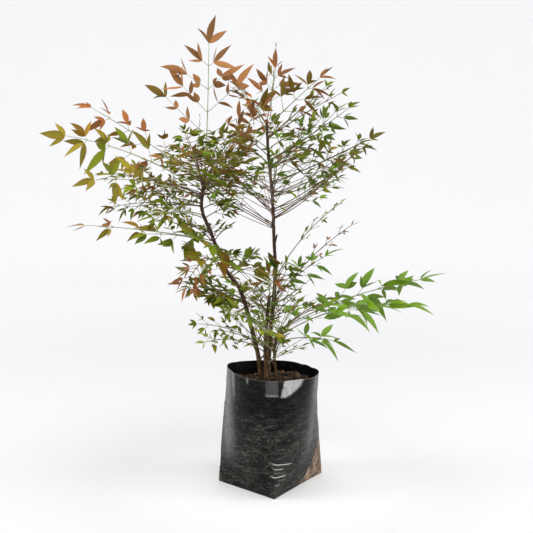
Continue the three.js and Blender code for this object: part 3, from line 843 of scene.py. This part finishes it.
def clothe(plant, frond, line, plane, keys, size, order):  # pairs of twigs or leaflets along a stem
    length = sum((b - a).length for a, b in zip(line, line[1:]))
    gap = growth["nodeGap"][frond["cane"]] * min(size, growth["largeLeaf"])
    gap *= vary(growth["gapSpread"], *keys, 40 + order) * growth["widerGap"].get(frond["tint"], 1)
    count = int(length * (1 - growth["lowestNode"]) / gap)
    for node in range(1, count + 1):
        room = node * gap
        point, direction = along(line, 1 - room / length)
        for hand in (-1, 1):
            nodeKeys = (*keys[:2], keys[2] + 3 * node * (1 if keys[2] >= 0 else -1), order * 2 + hand)
            if order == 1 and room > growth["twigOver"] * size:
                twig(plant, frond, point, direction, plane, nodeKeys, hand, room, size)
            else:
                tint = tintOf(frond, *keys[:2])
                leafSize = size * growth["nodeLeaf"]
                leafBeside(plant, frond, tint, point, direction, plane, nodeKeys, hand, leafSize)


def twig(plant, frond, point, direction, plane, keys, hand, room, size):
    away = turned(direction, plane[0] * hand, vary(growth["stemAngle"], *keys, 2))
    away = (away + plane[1] * vary(growth["twigLift"], *keys, 3)).normalized()
    line = stemLine(point, away, direction, room * vary(growth["twigShare"], *keys, 1))
    plant.addStem(frond, line, growth["twigRadii"], 4)
    tint = tintOf(frond, *keys[:3])
    spray(plant, frond, tint, line, plane, keys, size * growth["twigLeaf"])
    clothe(plant, frond, line, plane, keys, size, 2)


def growSideStem(plant, frond, rachis, size, pair, hand, onward):
    share = mixed(frond["bare"], 1, (pair + onward) / frond["pairs"])
    point, direction = along(rachis, share)
    plane = planeOf(frond, direction)
    keys = (frond["seed"], pair + 20 * onward, hand)
    reach = frond["spread"] * frond["length"] * (1 - share) ** growth["reachPower"]
    reach *= vary(growth["reachShare"], *keys, 1)
    away = turned(direction, plane[0] * hand, vary(growth["stemAngle"], *keys, 2))
    away = (away + plane[1] * vary(growth["twigLift" if onward else "stemLift"], *keys, 3)).normalized()
    longer = growth["sprayLength"] + (growth["sprayShare"] - 1) * size
    line = stemLine(point, away, direction, max(reach, growth["shortest"]) + longer * growth["sprayReach"])
    plant.addStem(frond, line, growth["stemRadii"], 5)
    spray(plant, frond, tintOf(frond, *keys[1:]), line, plane, keys, size)
    clothe(plant, frond, line, plane, keys, size, 1)


def growFrond(plant, frond):
    line = rachisLine(frond)
    plane = planeOf(frond, along(line, 1)[1])
    size = frond["leaf"]
    shares = [mixed(frond["bare"], 1, pair / frond["pairs"]) for pair in range(frond["pairs"])]
    plant.addStem(frond, line, growth["rachisRadii"], 6, shares)
    addSheath(plant, frond, line)
    spray(plant, frond, frond["tint"], line, plane, (frond["seed"], growth["endKey"], 0), size)
    steps = 1 + (growth["finerStems"][frond["cane"]] if hasSmallLeaves(frond) else 0)
    for pair, step, hand in product(range(frond["pairs"]), range(steps), (-1, 1)):
        growSideStem(plant, frond, line, size, pair, hand, step / steps)


def hasSmallLeaves(frond):
    return growth["smallLeaf"] < frond["leaf"] <= growth["largeLeaf"]


def listFronds():
    fronds = []
    for cane, rows in frondRows.items():
        for i, row in enumerate(rows):
            frond = dict(zip(columns, row), cane=cane, name=f"{cane}_frond_{i + 1:02d}")
            fronds.append({**frond, "number": len(fronds) + 1, "seed": len(fronds) + 1})
    return fronds + [companion(frond, k) for frond in fronds for k in range(1, companionCount(frond) + 1)]


sproutForm = {"bend": -15, "bare": 0.4, "spread": 0.3, "pairs": 2}
firstSprout, sproutTipGap = 220, 8
sprouts = [  # short fronds between the big ones, each drawn with a bigger one
    {"canes": {"left": "left_frond_22", "middle": "middle_frond_04", "right": "right_frond_17",
               "short": "short_frond_02"},
     "tints": ("olive", "green", "lime", "lime", "bronze"), "count": 18, "height": (246, 176),
     "rise": (30, 44), "length": (48, 70), "leaf": (17, 10)},
    {"canes": {"left": "left_frond_19"}, "tints": ("deep", "bronze", "green", "olive"), "count": 6,
     "height": (442, 112), "rise": (18, 30), "length": (50, 44), "leaf": (18, 8)},
    {"canes": {"right": "right_frond_05"}, "tints": ("olive", "brown", "green", "copper", "olive"),
     "count": 10, "height": (672, 108), "rise": (14, 40), "length": (52, 50), "leaf": (22, 12)},
    {"canes": {"left": "left_frond_06"}, "tints": ("green", "deep", "brown", "olive"), "count": 9,
     "height": (594, 70), "rise": (2, 34), "length": (40, 40), "leaf": (19, 10)},
]


def listSprouts():
    fronds = []
    for place, group in enumerate(sprouts):
        names = list(group["canes"])
        for i in range(group["count"]):
            cane, key = names[i % len(names)], i + 40 * place
            number = firstSprout + key
            drawn = {size: vary(group[size], key, salt)
                     for size, salt in (("height", 51), ("rise", 53), ("length", 54), ("leaf", 55))}
            drawn["height"] = onCane(canes[cane], drawn["height"], sproutTipGap)
            fronds.append({
                **sproutForm, **drawn, "cane": cane, "name": group["canes"][cane], "number": number,
                "seed": number, "toward": goldenAngle * key, "roll": 40 * chance(key, 56),
                "tint": group["tints"][i % len(group["tints"])],
            })
    return fronds


companions = {  # fronds within a frond's reach: how many, and how they differ from it
    "counts": {"green": 2, "olive": 2, "brown": 2, "bronze": 1, "deep": 2, "lime": 1},
    "changes": {"height": (-7, 14), "toward": (-15, 30), "rise": (-12, 18),
                "length": (0.6, 0.32), "leaf": (0.66, 0.3), "bend": (-8, 26)},
    "shares": ("length", "leaf"), "spread": 0.8, "seedStep": 60,
}


def companionCount(frond):
    isFull = frond["pairs"] > 2 and hasSmallLeaves(frond)
    return companions["counts"].get(frond["tint"], 0) if isFull else 0


def companion(frond, k):
    seed = frond["number"] + companions["seedStep"] * k
    made = {**frond, "seed": seed, "tint": tintOf(frond, k, seed), "pairs": max(frond["pairs"] - 1, 2)}
    made["spread"] *= companions["spread"]
    for i, (size, change) in enumerate(companions["changes"].items()):
        drawn = vary(change, seed, i + 1)
        made[size] = frond[size] * drawn if size in companions["shares"] else frond[size] + drawn
    return made


# A leaflet as columns of numbers: how far along, how far across and how high each point is

def leafTemplate():
    across = (-1, -leafForm["margin"], 0, leafForm["margin"], 1)
    rows = [(0, 0, 0, 0)]
    inner = list(zip(leafForm["stations"], leafForm["halfWidths"]))[1:-1]
    for station, half in inner:
        rows += [(station, side * half, abs(side) * half, 0) for side in across]
        rows.append((station, 0, 0, -half))
    rows.append((1, 0, 0, 0))
    ring, last = len(across) + 1, len(rows) - 1
    starts = range(1, last, ring)
    faces = [(a + k, b + k, b + (k + 1) % ring, a + (k + 1) % ring)
             for a, b in zip(starts, starts[1:]) for k in range(ring)]
    faces += [(0, 1 + k, 1 + (k + 1) % ring) for k in range(ring)]
    faces += [(last, starts[-1] + (k + 1) % ring, starts[-1] + k) for k in range(ring)]
    kinds = [1, 0, 0, 1, 2, 2] * (len(inner) + 1)  # margin, two of the upper side, margin, underside
    return np.array(rows), faces, kinds


def leafMesh(name, leaves, template):
    rows, faces, kinds = template
    t, across, rise, below = (rows[:, i][None, :, None] for i in range(4))
    data = np.array(leaves)
    base, forward, face = (data[:, None, i:i + 3] for i in (0, 3, 6))
    length, width, droop, sag, curl = (data[:, i][:, None, None] for i in range(9, 14))
    bend = length * t ** 2
    lift = leafForm["fold"] * rise * width / 2 + below * leafForm["thickness"] * length - droop * bend
    aside = across * width / 2 + curl * bend
    points = base + forward * length * t + face * lift + np.cross(forward, face) * aside
    points -= np.array(tuple(up)) * sag * bend
    allFaces = [tuple(k + i * len(rows) for k in f) for i in range(len(leaves)) for f in faces]
    return meshFrom(name, points.reshape(-1, 3), allFaces, kinds * len(leaves))


def makeLeaves(plant):
    template = leafTemplate()
    for (tint, shade), leaves in sorted(plant.leaves.items()):
        name = f"leaves{tint.title()}{shade + 1}"
        piece = leafMesh(name, leaves, template)
        finishes = [plainFinish(name + part, tone, leafForm["dullness"], leafForm["gloss"], shades[shade])
                    for part, tone in zip(("Upper", "Margin", "Under"), tints[tint])]
        finishPiece(piece, finishes, sorted(plant.fronds[tint, shade]))
        softEdges(piece, 60)
    print("leaflets", sum(len(leaves) for leaves in plant.leaves.values()))


def makeStems(plant):
    for tone, (colour, slot, _) in stemTones.items():
        finish = plainFinish(f"frondStem{tone}", colour, 0.55)
        plant.tubes[tone].piece(f"frondStems{tone}", slot, finish, sorted(plant.tubes[tone].nodes))
    plant.sheaths.piece("frondSheaths", "cane_bark", plainFinish("frondSheath", sheath["colour"], 0.8),
                        [f"{name}_cane" for name in canes])


# Bag

bag = {  # places on the wall: an angle round the mouth, -90 at the front, and a height
    "corners": ((112, 55), (-5, 110), (-120, 0), (2, -112)), "mouthRadius": 100, "rimHeight": 250,
    "leftPeak": 8, "rightDip": 3, "film": 0.5, "sides": 216, "rings": 180,
    "foldHeight": 182, "foldDepth": 0.9, "footCurl": 1.2, "sway": 1.9, "crinkle": 1.0,
    # The pale amounts below are painted highlights and a painted reflection patch on the film; the dent and
    # the pleat are also pressed into its shape.
    "dent": {"left": (-76, -81), "right": (-50.5, -75.5), "down": 36, "depth": 3.5, "pale": 0.72},
    "paintedReflection": (-99, -84.5, 33), "paintedReflectionPale": (0.1, 0.3), "glint": (-123, 0.9, 16), "glintPale": 0.4,
    "pleat": {"angle": -147, "halfWidth": 3.2, "down": 62, "height": 2.4, "pale": 0.26},
    "rimDips": ((28, 5, 1.4), (49, 4, 1.2)), "edge": 1.6, "edgePale": 0.12,  # middle, width and depth
    "stretch": (  # painted highlights along wrinkles at the front: middle, half length, height, rise to the right and strength
        (18, 26, 69, -7, 0.95), (10, 14, 61, -4.5, 0.7), (8, 9, 54, -2, 0.25), (11, 20, 44, -3.5, 0.95),
        (18, 10, 35, -3, 0.22), (8, 8, 27, -3, 0.3)),
    "strokeBow": 1.6, "strokeWidth": 1.5,
    "gussets": (  # sides before and after a corner, shares along them, heights, and how stained
        (3, 0, (0.48, 0.66, 0.85, 0.95, 1), (0, 26, 62, 88, 108), 1),
        (1, 2, (0.9, 0.94, 0.97, 0.99, 1), (0, 6, 14, 22, 30), 0.22)),
    # sheens are painted sheen bands down the left and right sides: middle, width and strength
    "gussetDepth": 1.1, "sheens": ((-166, 13, 0.24), (-12, 13, 0.12)),
    "holes": ((3, 0.93, 38), (3, 0.75, 15), (2, 0.3, 34)), "holeRadius": 1.9,
}


def wallPlace(points):  # for points of a round pot: the side of the square, and how far along it
    turn = (np.arctan2(points[:, 1], points[:, 0]) / (2 * math.pi)) % 1 * 4
    side = np.floor(turn + 1e-6).astype(int) % 4
    return side, np.clip(turn - side, 0, 1)


def intoBag(points):  # square at the foot and round at the mouth, from a round pot
    corners = np.array(bag["corners"], float)
    side, share = wallPlace(points)
    share = share[:, None]
    start, end = corners[side], corners[(side + 1) % 4]
    angleFrom = np.arctan2(start[:, 1], start[:, 0])
    sweep = (np.arctan2(end[:, 1], end[:, 0]) - angleFrom) % (2 * math.pi)
    angle = angleFrom + sweep * share[:, 0]
    radius = bag["mouthRadius"]
    square = start + (end - start) * share
    rounded = np.stack([np.cos(angle), np.sin(angle)], 1) * radius
    height = np.clip(points[:, 2] / bag["rimHeight"], 0, 1)[:, None]
    scale = reachOf(points)[:, None] / radius
    level = (square + (rounded - square) * height) * scale
    return np.column_stack([level, points[:, 2]])


def rimLift(points):
    x = points[:, 0] / np.maximum(reachOf(points), 1e-6)
    return bag["leftPeak"] * np.maximum(0, -x) ** 4 - bag["rightDip"] * x


def between(value, low, high, soft):
    return smooth(value, low - soft, low + soft) * (1 - smooth(value, high - soft, high + soft))


def gussetMask(side, share, height):  # the folded-in film beside the right and the left corner
    strength = 0
    for before, after, shares, heights, much in bag["gussets"]:
        toCorner = np.where(side == before, share, np.where(side == after, 1 - share, 0))
        edge = np.interp(toCorner, shares, heights)
        strength = strength + much * smooth(edge - height, -0.8, 0.8) * (toCorner > shares[0])
    return strength


def dentMask(angle, height):
    dent = bag["dent"]
    down = (bag["rimHeight"] - height) / dent["down"]
    left = mixed(*dent["left"], down)
    right = mixed(*dent["right"], np.maximum(down, 0) ** 2)
    return between(angle, left, right, 0.9) * (1 - smooth(down, 0.94, 1.02)), down


def filmPush(side, share, angle, height):  # how far the film stands out from the plain wall
    ring = np.stack([np.cos(np.radians(angle)), np.sin(np.radians(angle))], 1)
    front = mixed(0.45, 1, smooth(-ring[:, 1], -0.3, 0.5))
    onWall = smooth(height, 4, 22)
    sway = unevenness(np.column_stack([ring * 1.9, height * 0.012]), 3)
    crinkle = unevenness(np.column_stack([ring * 2.2, height * 0.085]), 5)
    crinkle += 0.5 * unevenness(np.column_stack([ring * 5, height * 0.2]), 8)
    slack = 1 - smooth(height, 168, 196)
    push = bag["sway"] * sway * onWall + bag["crinkle"] * crinkle * onWall * mixed(0.25, 1, slack) * front
    push += bag["foldDepth"] * (1 - smooth(height, bag["foldHeight"] - 3, bag["foldHeight"] + 2)) * onWall
    push -= bag["footCurl"] * (1 - smooth(height, 0, 3))
    pleat = bag["pleat"]
    hanging = smooth(height, bag["rimHeight"] - pleat["down"], bag["rimHeight"] - 8)
    push += pleat["height"] * hanging * hump(angle, pleat["angle"], pleat["halfWidth"])
    push -= 0.8 * pleat["height"] * hanging * hump(angle, pleat["angle"] + 5.5, pleat["halfWidth"])
    dent, down = dentMask(angle, height)
    push -= dent * bag["dent"]["depth"] * (1 - 0.8 * down)
    push -= bag["gussetDepth"] * gussetMask(side, share, height)
    return push


def paintedShineMask(angle, height):  # painted highlights and sheen on the film: sheen bands down the sides, the dent, a reflection patch, a glint, the pleat's ridge and a pale line along the rim
    dent, _ = dentMask(angle, height)
    left, right, deep = bag["paintedReflection"]
    below = bag["rimHeight"] - height
    paintedReflection = between(angle, left, right, 1.0) * (1 - smooth(below, deep - 1.5, deep + 1))
    middle, halfWidth, reach = bag["glint"]
    glint = hump(angle, middle, halfWidth) * (1 - smooth(below, reach * 0.4, reach))
    pleat = bag["pleat"]
    ridge = hump(angle, pleat["angle"] - 1, pleat["halfWidth"]) * (1 - smooth(below, 10, pleat["down"]))
    edge = smooth(height, bag["rimHeight"] - bag["edge"], bag["rimHeight"])
    sheen = sum(much * hump(angle, middle, width) for middle, width, much in bag["sheens"])
    paintedShine = sheen * smooth(height, 30, 120) + dent * bag["dent"]["pale"] + edge * bag["edgePale"]
    paintedShine += paintedReflection * (bag["paintedReflectionPale"][0] + bag["paintedReflectionPale"][1] * smooth(below, deep - 6, deep))
    return np.clip(paintedShine + glint * bag["glintPale"] + ridge * pleat["pale"], 0, 1)


def makeBag():
    tube = unitTube("filmBag", bag["sides"], bag["rings"])
    fillRing(tube, lambda edge: all(vertex.co.z < 1e-4 for vertex in edge.verts), bag["sides"])
    points = pointsOf(tube)
    onWall = reachOf(points) > 0.999
    points *= (bag["mouthRadius"], bag["mouthRadius"], bag["rimHeight"])
    height = points[:, 2].copy()
    side, share = wallPlace(points)
    shaped = intoBag(points)
    angle = angleOf(shaped)
    outward = shaped[:, :2] / np.maximum(reachOf(shaped), 1e-6)[:, None]
    shaped[:, :2] += outward * (filmPush(side, share, angle, height) * onWall)[:, None]
    shaped[:, 2] += rimLift(shaped) * smooth(height, 200, 250) + rimWave(angle) * smooth(height, 236, 250)
    movePoints(tube, shaped)
    giveAttribute(tube, "stain", gussetMask(side, share, height) * onWall)
    # painted highlights, sheen and a reflection patch, carried to the film's finish as an attribute
    giveAttribute(tube, "paintedShine", paintedShineMask(angle, height) * onWall)
    finishPiece(tube, [filmFinish(), innerFinish()], ["bag"])
    applied(tube, "SOLIDIFY", thickness=bag["film"] * mm, offset=-1, material_offset=1)
    softEdges(tube, 60)


def rimWave(angle):  # the mouth isn't cut quite straight
    turn = np.radians(angle)
    ring = np.stack([np.cos(turn), np.sin(turn), turn * 0], 1)
    ragged = 0.5 * unevenness(ring * 7, 11) + unevenness(ring * 2.5, 12)
    return ragged - sum(depth * hump(angle, middle, width) for middle, width, depth in bag["rimDips"])


def highlightStrokes(film):  # painted highlights along the film's wrinkles over the soil's foot
    x, y, height = (film.axis(number) for number in range(3))
    lines = []
    for middle, halfLength, level, rise, strength in bag["stretch"]:
        share = (x - middle * mm) * (1 / (halfLength * mm))
        centre = (share * share * bag["strokeBow"] + share * rise + level) * mm
        line = film.step(film.size(height - centre), bag["strokeWidth"] * mm, 0)
        lines.append(line * film.step(film.size(share), 1, 0.5) * strength)
    return sum(lines) * film.step(y, -0.02, -0.05)


def filmFinish():
    film = Finish("blackFilm", Specular_IOR_Level=0.1)
    low = film.step(film.axis(2), 0.2, 0.125) * 0.76 + 0.24
    dust = film.patches(0.48, 0.68, 30, 8, (1, 1, 1.4), 0.75)
    # the pale streaks on the fine wrinkles and on the crackle are painted glints
    wrinkleGlints = film.patches(0.55, 0.64, 88, 7, (0.42, 0.42, 3.2), 0.74, 0.7)
    crackleGlints = film.patches(0.56, 0.64, 190, 5, (0.8, 0.8, 1.8), 0.7, 1.2)
    cloudy = film.patches(0.42, 0.62, 16, 5, (1, 1, 0.8), 0.6)
    specks = film.patches(0.7, 0.78, 420, 3, (1, 1, 1), 0.5) * low
    # pale creases: painted glints along the film's creases
    creaseGlints = film.creases(34, (0.5, 0.5, 2), 0.024, 0.9)
    # dark creases: painted shade in the film's creases
    creaseShade = film.creases(42, (0.6, 0.6, 1.8), 0.03, 1.3)
    soaked = film.patches(0.41, 0.58, 110, 8, (1, 1, 0.6), 0.78, 0.8)
    shineBreakup = film.patches(0.36, 0.56, 130, 5, (1, 1, 0.5), 0.7)
    stain, paintedShine = film.attribute("stain"), film.attribute("paintedShine")
    film.paint(
        film.colour((3, 3, 4), (17, 18, 20), cloudy),
        ((60, 58, 44), dust * low * 0.42),
        ((122, 123, 112), wrinkleGlints * low * 0.46),
        ((84, 84, 76), crackleGlints * low * 0.46),
        ((3, 3, 4), creaseShade * (low * 0.6 + 0.2)),
        ((114, 114, 104), creaseGlints * (low * 0.22 + 0.03)),
        ((120, 112, 84), specks * 0.5),
        (film.colour((52, 44, 38), (164, 138, 116), soaked), stain * (soaked * 0.25 + 0.7)),
        # painted shine: near-white highlights, sheen and a reflection patch, broken up a little by noise
        ((206, 206, 205), paintedShine * (shineBreakup * 0.3 + 0.7)),
        # painted highlights along the wrinkles at the front
        ((214, 214, 212), highlightStrokes(film)),
        # painted shade: dark discs where the drain holes are
        *(((8, 7, 6), holeShade(film, place)) for place in holePlaces()))
    film.feed(film.surface.inputs["Roughness"], dust * 0.25 + stain * 0.3 + 0.27)
    creases = film.grain(52, 7, (0.6, 0.6, 2.6), 0.7, 0.5) * low + film.grain(260, 3, (1, 1, 1.4), 0.5) * 0.15
    film.relief(creases, 0.7, 0.003)
    return film


def innerFinish():  # the side towards the soil, dull with dust
    film = Finish("innerFilm", Roughness=0.5, Specular_IOR_Level=0.1)
    dust = film.patches(0.5, 0.7, 60, 7, (1, 1, 1.5), 0.7)
    film.paint(film.colour((4, 4, 5), (52, 42, 34), dust * 0.5))
    return film


# a dark disc painted at a drain hole, as the shade inside it; the film isn't cut
def holeShade(film, place):
    apart = film.node("VectorMath", {"operation": "DISTANCE"}, {0: film.place, 1: place}, 1)
    return 1 - film.step(apart, bag["holeRadius"] * mm * 0.8, bag["holeRadius"] * mm * 1.1)


def holePlaces():  # on the wall, from the side of the square, the share along it and the height
    places = []
    for side, share, height in bag["holes"]:
        turn = (side + share) * math.pi / 2
        radius = bag["mouthRadius"]
        place = intoBag(np.array([[math.cos(turn) * radius, math.sin(turn) * radius, height]]))[0]
        places.append(tuple(place * mm))
    return places


# Soil

soil = {
    "top": 225, "edge": 221, "foot": 1.5, "flatRadius": 0.7, "sides": 216, "cuts": 8, "clear": 0.9,
    "relief": 2.6, "mound": (34, 24, 10), "moundReach": 1500,
}


def soilHeight(x, y):
    reach = math.hypot(x, y) / bag["mouthRadius"]
    crown = mixed(soil["top"], soil["edge"], float(smooth(reach, soil["flatRadius"], 1)))
    place = Vector((x, y, 4))
    moundX, moundY, moundHeight = soil["mound"]
    crown += moundHeight * math.exp(-((x - moundX) ** 2 + (y - moundY) ** 2) / soil["moundReach"])
    return crown - 1 + soil["relief"] * (noise.noise(place * 0.045) + 0.6 * noise.noise(place * 0.16))


def makeSoil():
    tube = unitTube("pottingSoil", soil["sides"], soil["cuts"], "NGON")
    removeLid(tube)
    fillRing(tube, lambda edge: all(vertex.co.z > 0.9999 for vertex in edge.verts), soil["sides"])
    points = pointsOf(tube)
    onTop = points[:, 2] > 0.9999
    radius = bag["mouthRadius"]
    points *= (radius, radius, soil["edge"] - soil["foot"])
    points[:, 2] += soil["foot"]
    side, share = wallPlace(points)
    shaped = intoBag(points)
    angle = angleOf(shaped)
    reach = reachOf(points) / radius
    push = filmPush(side, share, angle, points[:, 2]) - soil["clear"] * smooth(points[:, 2], 1, 4) - 1
    shaped[:, :2] *= (1 + push * reach ** 4 / np.maximum(reachOf(shaped), 1))[:, None]
    shaped[onTop, 2] = [soilHeight(x, y) for x, y, _ in shaped[onTop]]
    movePoints(tube, shaped)
    finishPiece(tube, [soilFinish()], ["soil"])
    softEdges(tube, 70)


def soilFinish():
    earth = Finish("darkEarth", Roughness=0.95, Specular_IOR_Level=0.15)
    lumps = earth.grain(110, 8, (1, 1, 1), 0.7)
    damp = earth.patches(0.38, 0.64, 26, 4)
    # dark to light by the same noise as the relief: painted shade between the lumps and painted light on
    # their tops
    earth.paint(earth.colour((24, 16, 10), (86, 60, 38), earth.step(lumps, 0.38, 0.66)),
                ((48, 32, 19), damp * 0.5))
    earth.relief(lumps + earth.grain(420, 5, (1, 1, 1), 0.7) * 0.4, 0.9, 0.004)
    return earth


clods = {"count": 700, "radius": (0.9, 6.4), "clearOfWall": 7, "sunk": 0.25, "flatness": 0.75,
         "bumps": (0.7, 0.5), "tones": ((34, 23, 14), (62, 43, 27), (92, 67, 43))}


def onSoil(place, lift=0.0):
    return Vector((place.x, place.y, soilHeight(place.x, place.y) + lift))


def scatterPlace(seed):  # a place on the soil, clear of the wall
    reach = (bag["mouthRadius"] - clods["clearOfWall"]) * math.sqrt(chance(seed, 1))
    return onSoil(heading(360 * chance(seed, 2), 0) * reach)


def makeClods():  # crumbs of earth: a lump of twenty faces, many times over
    deselectAll()
    bpy.ops.mesh.primitive_ico_sphere_add(subdivisions=1, radius=1)
    lump = bpy.context.object
    corners = [vertex.co.copy() for vertex in lump.data.vertices]
    triangles = [tuple(face.vertices) for face in lump.data.polygons]
    bpy.data.objects.remove(lump)
    points, faces, kinds = [], [], []
    for i in range(clods["count"]):
        least, spread = clods["radius"]
        radius = least + spread * chance(i, 3) ** 3
        place = scatterPlace(i) + up * radius * clods["sunk"]
        spin = Matrix.Rotation(6 * chance(i, 4), 3, Vector((chance(i, 5), chance(i, 6), 1)).normalized())
        faces += [tuple(len(points) + k for k in triangle) for triangle in triangles]
        for k, corner in enumerate(corners):
            corner = spin @ corner
            corner.z *= clods["flatness"]
            points.append(place + corner * radius * vary(clods["bumps"], i, 7, k))
        kinds += [int(chance(i, 8) * len(clods["tones"]))] * len(triangles)
    piece = meshFrom("soilCrumbs", points, faces, kinds)
    crumbs = [plainFinish(f"crumb{i}", tone, 0.95) for i, tone in enumerate(clods["tones"])]
    finishPiece(piece, crumbs, ["soil"])


straws = {"count": 34, "length": (12, 34), "steps": 5, "bend": 30, "radii": (0.45, 0.42, 0.4, 0.36, 0.3, 0.2),
          "lift": (1.4, 1.5), "clearOfWall": 4, "colour": (150, 122, 82)}


def makeStraws():  # dry stalks lying on the soil
    tubes = Tubes()
    edge = bag["mouthRadius"] - straws["clearOfWall"]
    for i in range(straws["count"]):
        foot = scatterPlace(900 + i * 3)
        toward = 360 * chance(i, 21)
        length = vary(straws["length"], i, 22)
        path = []
        for k in range(straws["steps"] + 1):
            share = k / straws["steps"]
            bend = toward + straws["bend"] * (chance(i, 23) - 0.5) * share
            place = foot + heading(bend, 0) * length * (share - 0.5)
            place /= max(math.hypot(place.x, place.y) / edge, 1)
            path.append(onSoil(place, straws["lift"][0] + straws["lift"][1] * chance(i, 24) * share))
        tubes.add(path, straws["radii"], 4)
    tubes.piece("dryStraws", "potting_soil", plainFinish("dryStraw", straws["colour"], 0.8), ["soil"], None)


# The plant is put together

setUpStudio()
makeFloor()
print("studio ready")

for cane in canes.values():
    cane["line"] = caneLine(cane, 120)
caneBark = barkFinish()
for name, cane in canes.items():
    finishPiece(makeCane(name, cane), [caneBark], [f"{name}_cane"])
finishPiece(makeStub(), [caneBark], ["broken_stub"])
print("canes ready")

plant = Plant()
for frond in listFronds() + listSprouts():
    growFrond(plant, frond)
for number, shoot in enumerate(budShoots):
    addBudShoot(plant, budForm["firstNumber"] + number, *shoot)
makeStems(plant)
makeBareStalks()
makeLeaves(plant)
print("fronds ready")

makeBag()
makeSoil()
makeClods()
makeStraws()
print("bag and soil ready")
